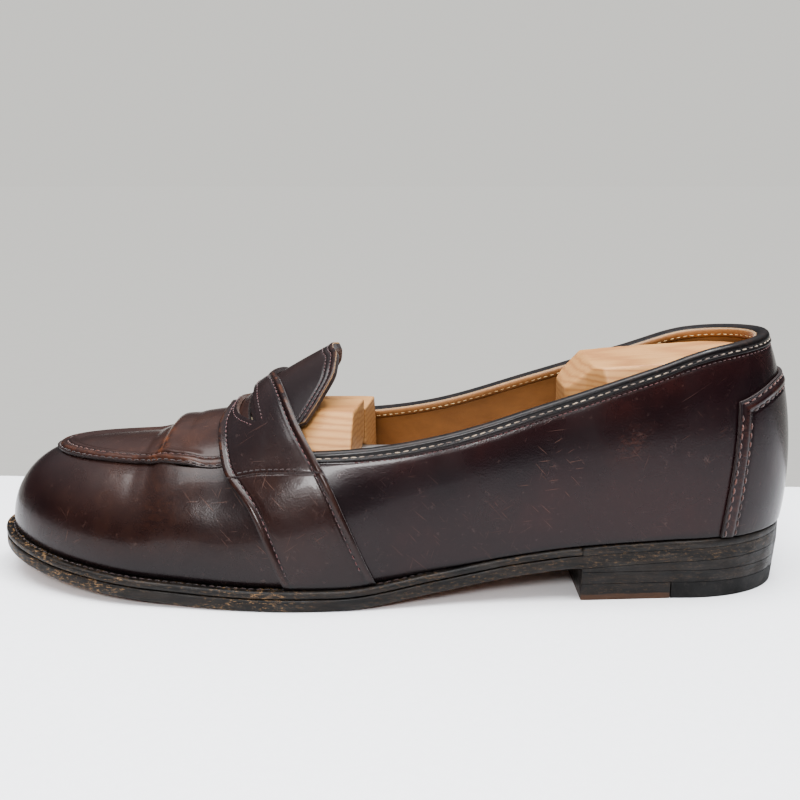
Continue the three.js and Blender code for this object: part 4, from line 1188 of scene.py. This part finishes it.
def eased(offset, height, above_top=False):
    """A point of the edge's section, its rounding eased off over the heel."""
    base_z = sole_top if above_top else underside
    ease = lambda x: mix(1.0, 0.12, over_heel(x))
    return (lambda x: sole_reach(x) + offset * ease(x)), (lambda x: base_z(x) + height * ease(x))


edge = [
    (r(-6.0), underside), eased(-1.2, 0.0), eased(-0.45, 0.25), eased(-0.08, 0.9), eased(0, 2.0),
    eased(0, -0.9, True), eased(-0.12, -0.35, True), eased(-0.5, 0.0, True), (r(-3.0), sole_top),
]
kinds = [0] * (2 * len(edge))
kinds[len(edge) - 2:len(edge) + 1] = [1, 1, 1]
obj = slab("outsole_leather", None, None, edge, [ink, tread], kinds, 260)
place_on(obj, "shoe", "sole_edge", "outsole")


def base(x):
    return sole_top(x) + mix(CLEAR, 0.06, over_heel(x))


def on_base(height):
    return lambda x: base(x) + height


def inside(x):
    return 0 * x


welt_section = [
    (inside, base), (r(-0.6), base), (r(-0.1), on_base(0.3)), (r(0), on_base(0.9)),
    (r(0), on_base(1.8)), (r(-0.2), on_base(2.35)), (r(-0.8), on_base(2.68)), (r(-2.2), welt_top),
    (r(-3.0), lambda x: welt_top(x) - 0.22), (r(-3.6), welt_top), (lambda x: 0.6 + 0 * x, welt_top),
    (inside, welt_top),
]
end = float(station_at(BREAST - 0.04))
ks = np.linspace(-1 + end, -end, 520)
obj = swept("welt_leather", ks, welt_section, [ink])
place_on(obj, "shoe", "sole_edge", "welt")
rand_section = [
    (inside, base), (r(-0.1), base), (r(0), on_base(0.1)), (r(0), on_base(2.3)),
    (r(-0.3), on_base(2.75)), (r(-1.0), welt_top), (inside, welt_top),
]
first = float(station_at(BREAST + 0.04))
obj = swept("heel_rand_leather", np.linspace(-first, first, 160), rand_section, [ink])
place_on(obj, "shoe", "sole_edge", "heel_rand")
px, py = plan_edge(ks, sole_reach(x_of(ks)) - 3.0)
line = np.stack([px, py, welt_top(px) - 0.15], -1)
rows = [(line, np.tile((0.0, 0, 1), (len(line), 1)))]
stitches("welt_stitches", rows, black_thread, 2.9, 0.74, 0.30, 0.10, 0.1)


def drawn(z):
    """The heel's edge, drawn in towards the floor."""
    return lambda x: sole_reach(x) - 0.09 * (SEAT_RISE - z)


SPLIT = mix(TOP_LIFT, BREAST_RISE, 0.72)
for name, first, final, z0, z1, material, node, slot, count in (
    ("heel_lift_top_layer", BREAST, None, SPLIT + 0.05, None, stack, "heel_lift_upper", "sole_edge", 90),
    ("heel_lift_bottom_layer", BREAST, None, TOP_LIFT + 0.05, SPLIT, stack, "heel_lift_lower",
     "sole_edge", 90),
    ("top_piece_leather", BREAST, RUBBER - 0.08, 0.0, TOP_LIFT, worn_tip, "top_lift_leather",
     "tread_leather", 40),
    ("top_piece_rubber", RUBBER, None, 0.0, TOP_LIFT, black_rubber, "top_lift_rubber", "rubber", 80),
):
    low, high = drawn(z0), drawn(SEAT_RISE if z1 is None else z1)
    top = (lambda x: underside(x) - 0.05) if z1 is None else (lambda x: z1 + 0 * x)
    layer = [
        (lambda x: low(x) - 0.08, lambda x: z0 + 0 * x), (low, lambda x: z0 + 0.1 + 0 * x),
        (high, lambda x: top(x) - 0.1), (lambda x: high(x) - 0.08, top),
    ]
    obj = soften(slab(name, first, final, layer, [material], None, count), 0.08, 2, 60)
    place_on(obj, "shoe", slot, node)

# ------------------------------------------------------------------ the shoe tree's wood
def form_ring(station):
    """A section of the last, drawn in by the tree's gap, from above the sock to the ridge."""
    halves = []
    for side in (-1, 1):
        low_z = feather(x_of(station)) + SOCK_TOP + TREE_ABOVE_SOCK
        lowest = float(rise_at(np.array(side * station), low_z))
        halves.append(above(side * station, np.linspace(lowest, 1, 26), -TREE_GAP))
    return np.concatenate([halves[0], halves[1][::-1][1:]])


def tree_form(name):
    return loft(name, [form_ring(k) for k in np.linspace(0.0005, 0.4995, 130)], [wood])


def prism(name, outline, z0, top):
    """A body over a plan outline; top gives its height from X."""
    x, y = np.asarray(outline, float).T
    return loft(name, [np.column_stack([x, y, z0 + 0 * x]), np.column_stack([x, y, top(x)])], [wood])


def sanded(obj, rounds):
    """Turns cut corners into sanded ones."""
    remesh = obj.modifiers.new("cells", "REMESH")
    remesh.mode = "VOXEL"
    remesh.voxel_size = 0.55 / 1000
    remesh.use_smooth_shade = True
    ease = obj.modifiers.new("ease", "SMOOTH")
    ease.factor = 0.5
    ease.iterations = rounds
    apply_modifiers(obj)
    obj.data.materials.clear()
    obj.data.materials.append(wood)


def bore(start_x, end_x, radius):
    """A rod along the tube's axis, to cut with."""
    turn = np.linspace(0, 2 * math.pi, 40, endpoint=False)
    y, z = TREE_MID - radius * np.cos(turn), TUBE_Z - radius * np.sin(turn)
    return loft("bore", [np.column_stack([np.full(40, x), y, z]) for x in (start_x, end_x)], [wood])


FAR = 300.0
TREE_MID, SPLIT_GAP = 3.0, 4.0
BLOCK_END, BLOCK_SLANT = -13.0, 0.13
TUBE_Z, TUBE_R = 43.0, 6.2
BLIND_END, ROD_BORE, ROD_END = -53.3, 4.9, 86.3
SQUEEZE_ROOM = 3.2
HEEL_FRONT, HEEL_TOP, HEEL_TOP_SLOPE = 66.0, 83.5, 0.07
HEEL_BEVEL = 74.5
ROUND = 7.0
for side, node, top_z, body in (
    (-1, "tree_toe_outer", 68.0, "tree_toe_half"), (1, "tree_toe_inner", 63.5, "shoe"),
):
    face = TREE_MID + side * SPLIT_GAP / 2
    near, far = (BLOCK_END + BLOCK_SLANT * (y + 33) for y in (face, side * FAR))
    plan = [(-FAR, face), (near, face), (far, side * FAR), (-FAR, side * FAR)]
    obj = tree_form(node + "_wood")
    carve(obj, prism("keep", plan, -5, lambda x: top_z + 0 * x), "INTERSECT")
    room = SQUEEZE_ROOM if side < 0 else 0
    carve(obj, bore(BLIND_END, 200, TUBE_R + CLEAR + room), "DIFFERENCE")
    sanded(obj, 5)
    place_on(obj, body, "cedar", node)


def arc(a, b, c):
    """Nine points of a quadratic curve from a to c, pulled to b."""
    t = np.linspace(0, 1, 9)[:, None]
    return ((1 - t) ** 2 * np.array(a) + 2 * t * (1 - t) * np.array(b) + t**2 * np.array(c)).tolist()


plan = [(FAR, -34), (HEEL_FRONT + 22, -34)]
plan += arc((HEEL_FRONT + ROUND, -17), (HEEL_FRONT, -17 + ROUND / 3), (HEEL_FRONT, -17 + ROUND))
plan += arc((HEEL_FRONT, 17 - ROUND), (HEEL_FRONT, 17 - ROUND / 3), (HEEL_FRONT + ROUND, 17))
plan += [(HEEL_FRONT + 22, 19.5), (FAR, 19.5)]
obj = tree_form("tree_heel_wood")
carve(obj, prism("keep", plan, -5, lambda x: HEEL_TOP + HEEL_TOP_SLOPE * (x - HEEL_FRONT)), "INTERSECT")
corners = [(HEEL_FRONT + a, HEEL_BEVEL + b) for a, b in ((-60, -60), (60, 60), (-60, 60))]
rings = [[(x, y, z) for x, z in corners] for y in (-100, 100)]
carve(obj, loft("bevel", rings, [wood]), "DIFFERENCE")
carve(obj, bore(0, ROD_END, ROD_BORE), "DIFFERENCE")
sanded(obj, 9)
place_on(obj, "tree_heel", "cedar", "tree_heel_block")


def coil(name, node, wire, turns, sides=8):
    """A compression spring along X that fills a node's box, its end turns closed up."""
    low, high = (np.array(corner) * 1000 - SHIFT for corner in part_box(node))
    middle = (low + high) / 2
    radius = (high[2] - low[2]) / 2 - wire
    share = np.linspace(0, 1, turns * 24 + 1)
    angle = 2 * math.pi * turns * share
    line = np.stack([
        mix(low[0] + wire, high[0] - wire, share - 0.055 * np.sin(2 * math.pi * share)),
        middle[1] + radius * np.sin(angle), middle[2] + radius * np.cos(angle),
    ], -1)
    run = np.gradient(line, axis=0)
    run /= np.linalg.norm(run, axis=1, keepdims=True)
    outward = line - middle
    outward[:, 0] = 0
    outward /= np.linalg.norm(outward, axis=1, keepdims=True)
    cross = np.cross(run, outward)
    turn = np.linspace(0, 2 * math.pi, sides, endpoint=False)[None, :, None]
    rings = line[:, None] + wire * (np.cos(turn) * outward[:, None] + np.sin(turn) * cross[:, None])
    return loft(name, rings, [steel])


low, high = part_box("tree_main_spring")
obj = coil("tree_spring_coil", "tree_main_spring", 0.5, 9)
place_on(obj, "shoe", "steel", "tree_main_spring")
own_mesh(obj)

# ------------------------------------------------------------------ everything carried over
hidden = {n for o in bpy.data.objects for n in list(o.get("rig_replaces", []))}
by_name = {
    "insole_rib": canvas, "cork_filler": cork, "heel_seat_filler": board, "shank": steel,
    "insole": board, "sock_liner": ochre, "vamp_lining": canvas, "toe_puff": board,
    "heel_stiffener": board,
}
for name, obj in frame["nodes"].items():
    if name in hidden:
        continue
    material = by_name.get(name) or (brass if name.startswith("heel_nail") else steel)
    obj.data.materials.clear()
    obj.data.materials.append(material)
    obj.data.polygons.foreach_set("use_smooth", np.ones(len(obj.data.polygons), bool))
    obj.data.set_sharp_from_angle(angle=math.radians(35))
    if name in ("sock_liner", "tree_tube", "tree_rod"):
        soften(obj, 0.25, 2, 50)

# ------------------------------------------------------------------ floor, backdrop, light and camera
paper = Shader("floor_paper")
tooth = paper.noise(300, 4, 0.6)
paper.set(Base_Color=paper.blend(tooth, srgb(232, 233, 236), srgb(240, 241, 243)), Roughness=0.55)
paper.relief((tooth, 0.10, 0.0006))
BACKDROP, BACKDROP_GLOW = srgb(199, 198, 194), 1.25
backdrop_paper = Shader("backdrop_paper")
grain = backdrop_paper.noise(260, 4, 0.6, stretch=(0.25, 1, 1))
backdrop_paper.set(Base_Color=(0.02, 0.02, 0.02, 1), Roughness=0.9, Specular_IOR_Level=0.0)
backdrop_paper.set(Emission_Color=backdrop_paper.blend(grain, srgb(196, 195, 191), srgb(202, 201, 197)))
backdrop_paper.set(Emission_Strength=BACKDROP_GLOW)
BACKDROP_Y, BACKDROP_SLOPE = 0.1145, -0.05


def stage_plane(name, corners, material):
    data = bpy.data.meshes.new(name)
    data.from_pydata(corners, [], [(0, 1, 2, 3)])
    data.materials.append(material)
    linked(name, data)


REACH = 6.0
left = (-REACH, BACKDROP_Y - REACH * BACKDROP_SLOPE, 0)
right = (REACH, BACKDROP_Y + REACH * BACKDROP_SLOPE, 0)
stage_plane("floor", [(-REACH, -REACH, 0), (REACH, -REACH, 0), right, left], paper.material)
stage_plane("backdrop", [left, right, (REACH, REACH, 0), (-REACH, REACH, 0)], backdrop_paper.material)


def lamp(name, place, aim, size, power):
    data = bpy.data.lights.new(name, "AREA")
    data.shape = "RECTANGLE"
    data.size, data.size_y = size
    data.energy = power
    obj = linked(name, data)
    obj.location = place
    obj.rotation_euler = (Vector(aim) - Vector(place)).to_track_quat("-Z", "Y").to_euler()


lamp("ceiling", (0.0, -0.25, 1.4), (0, -0.05, 0), (1.7, 1.0), 42)
lamp("key", (-0.17, -1.05, 0.62), (0, -0.03, 0.04), (0.42, 0.22), 11)
lamp("back", (0.25, 0.05, 1.1), (0.05, 0.0, 0.04), (0.5, 0.1), 4)
world = bpy.data.worlds.new("room")
bpy.context.scene.world = world
world.use_nodes = True
sky = world.node_tree.nodes
gaze = sky.new("ShaderNodeTexCoord")
split = sky.new("ShaderNodeSeparateXYZ")
band = sky.new("ShaderNodeMapRange")
band.interpolation_type = "SMOOTHSTEP"
band.inputs[1].default_value, band.inputs[2].default_value = 0.2, 0.85
band.inputs[3].default_value, band.inputs[4].default_value = 0.14, 1.0
join = world.node_tree.links.new
join(gaze.outputs["Generated"], split.inputs[0])
join(split.outputs["Z"], band.inputs[0])
join(band.outputs[0], sky["Background"].inputs[1])
sky["Background"].inputs[0].default_value = (0.93, 0.95, 1.0, 1)
seen = sky.new("ShaderNodeBackground")
seen.inputs[0].default_value = BACKDROP
seen.inputs[1].default_value = BACKDROP_GLOW
choose = sky.new("ShaderNodeMixShader")
join(sky.new("ShaderNodeLightPath").outputs["Is Camera Ray"], choose.inputs[0])
join(sky["Background"].outputs[0], choose.inputs[1])
join(seen.outputs[0], choose.inputs[2])
join(choose.outputs[0], sky["World Output"].inputs[0])
bpy.context.scene.view_settings.look = "AgX - Medium High Contrast"

lens = bpy.data.cameras.new("camera")
lens.lens, lens.sensor_width = 50.4, 36
lens.clip_start = 0.01
camera = linked("camera", lens)
camera.location = (0.0039, -0.424, 0.158)
camera.rotation_euler = (math.radians(90 - 12.2), 0, 0)
bpy.context.scene.camera = camera
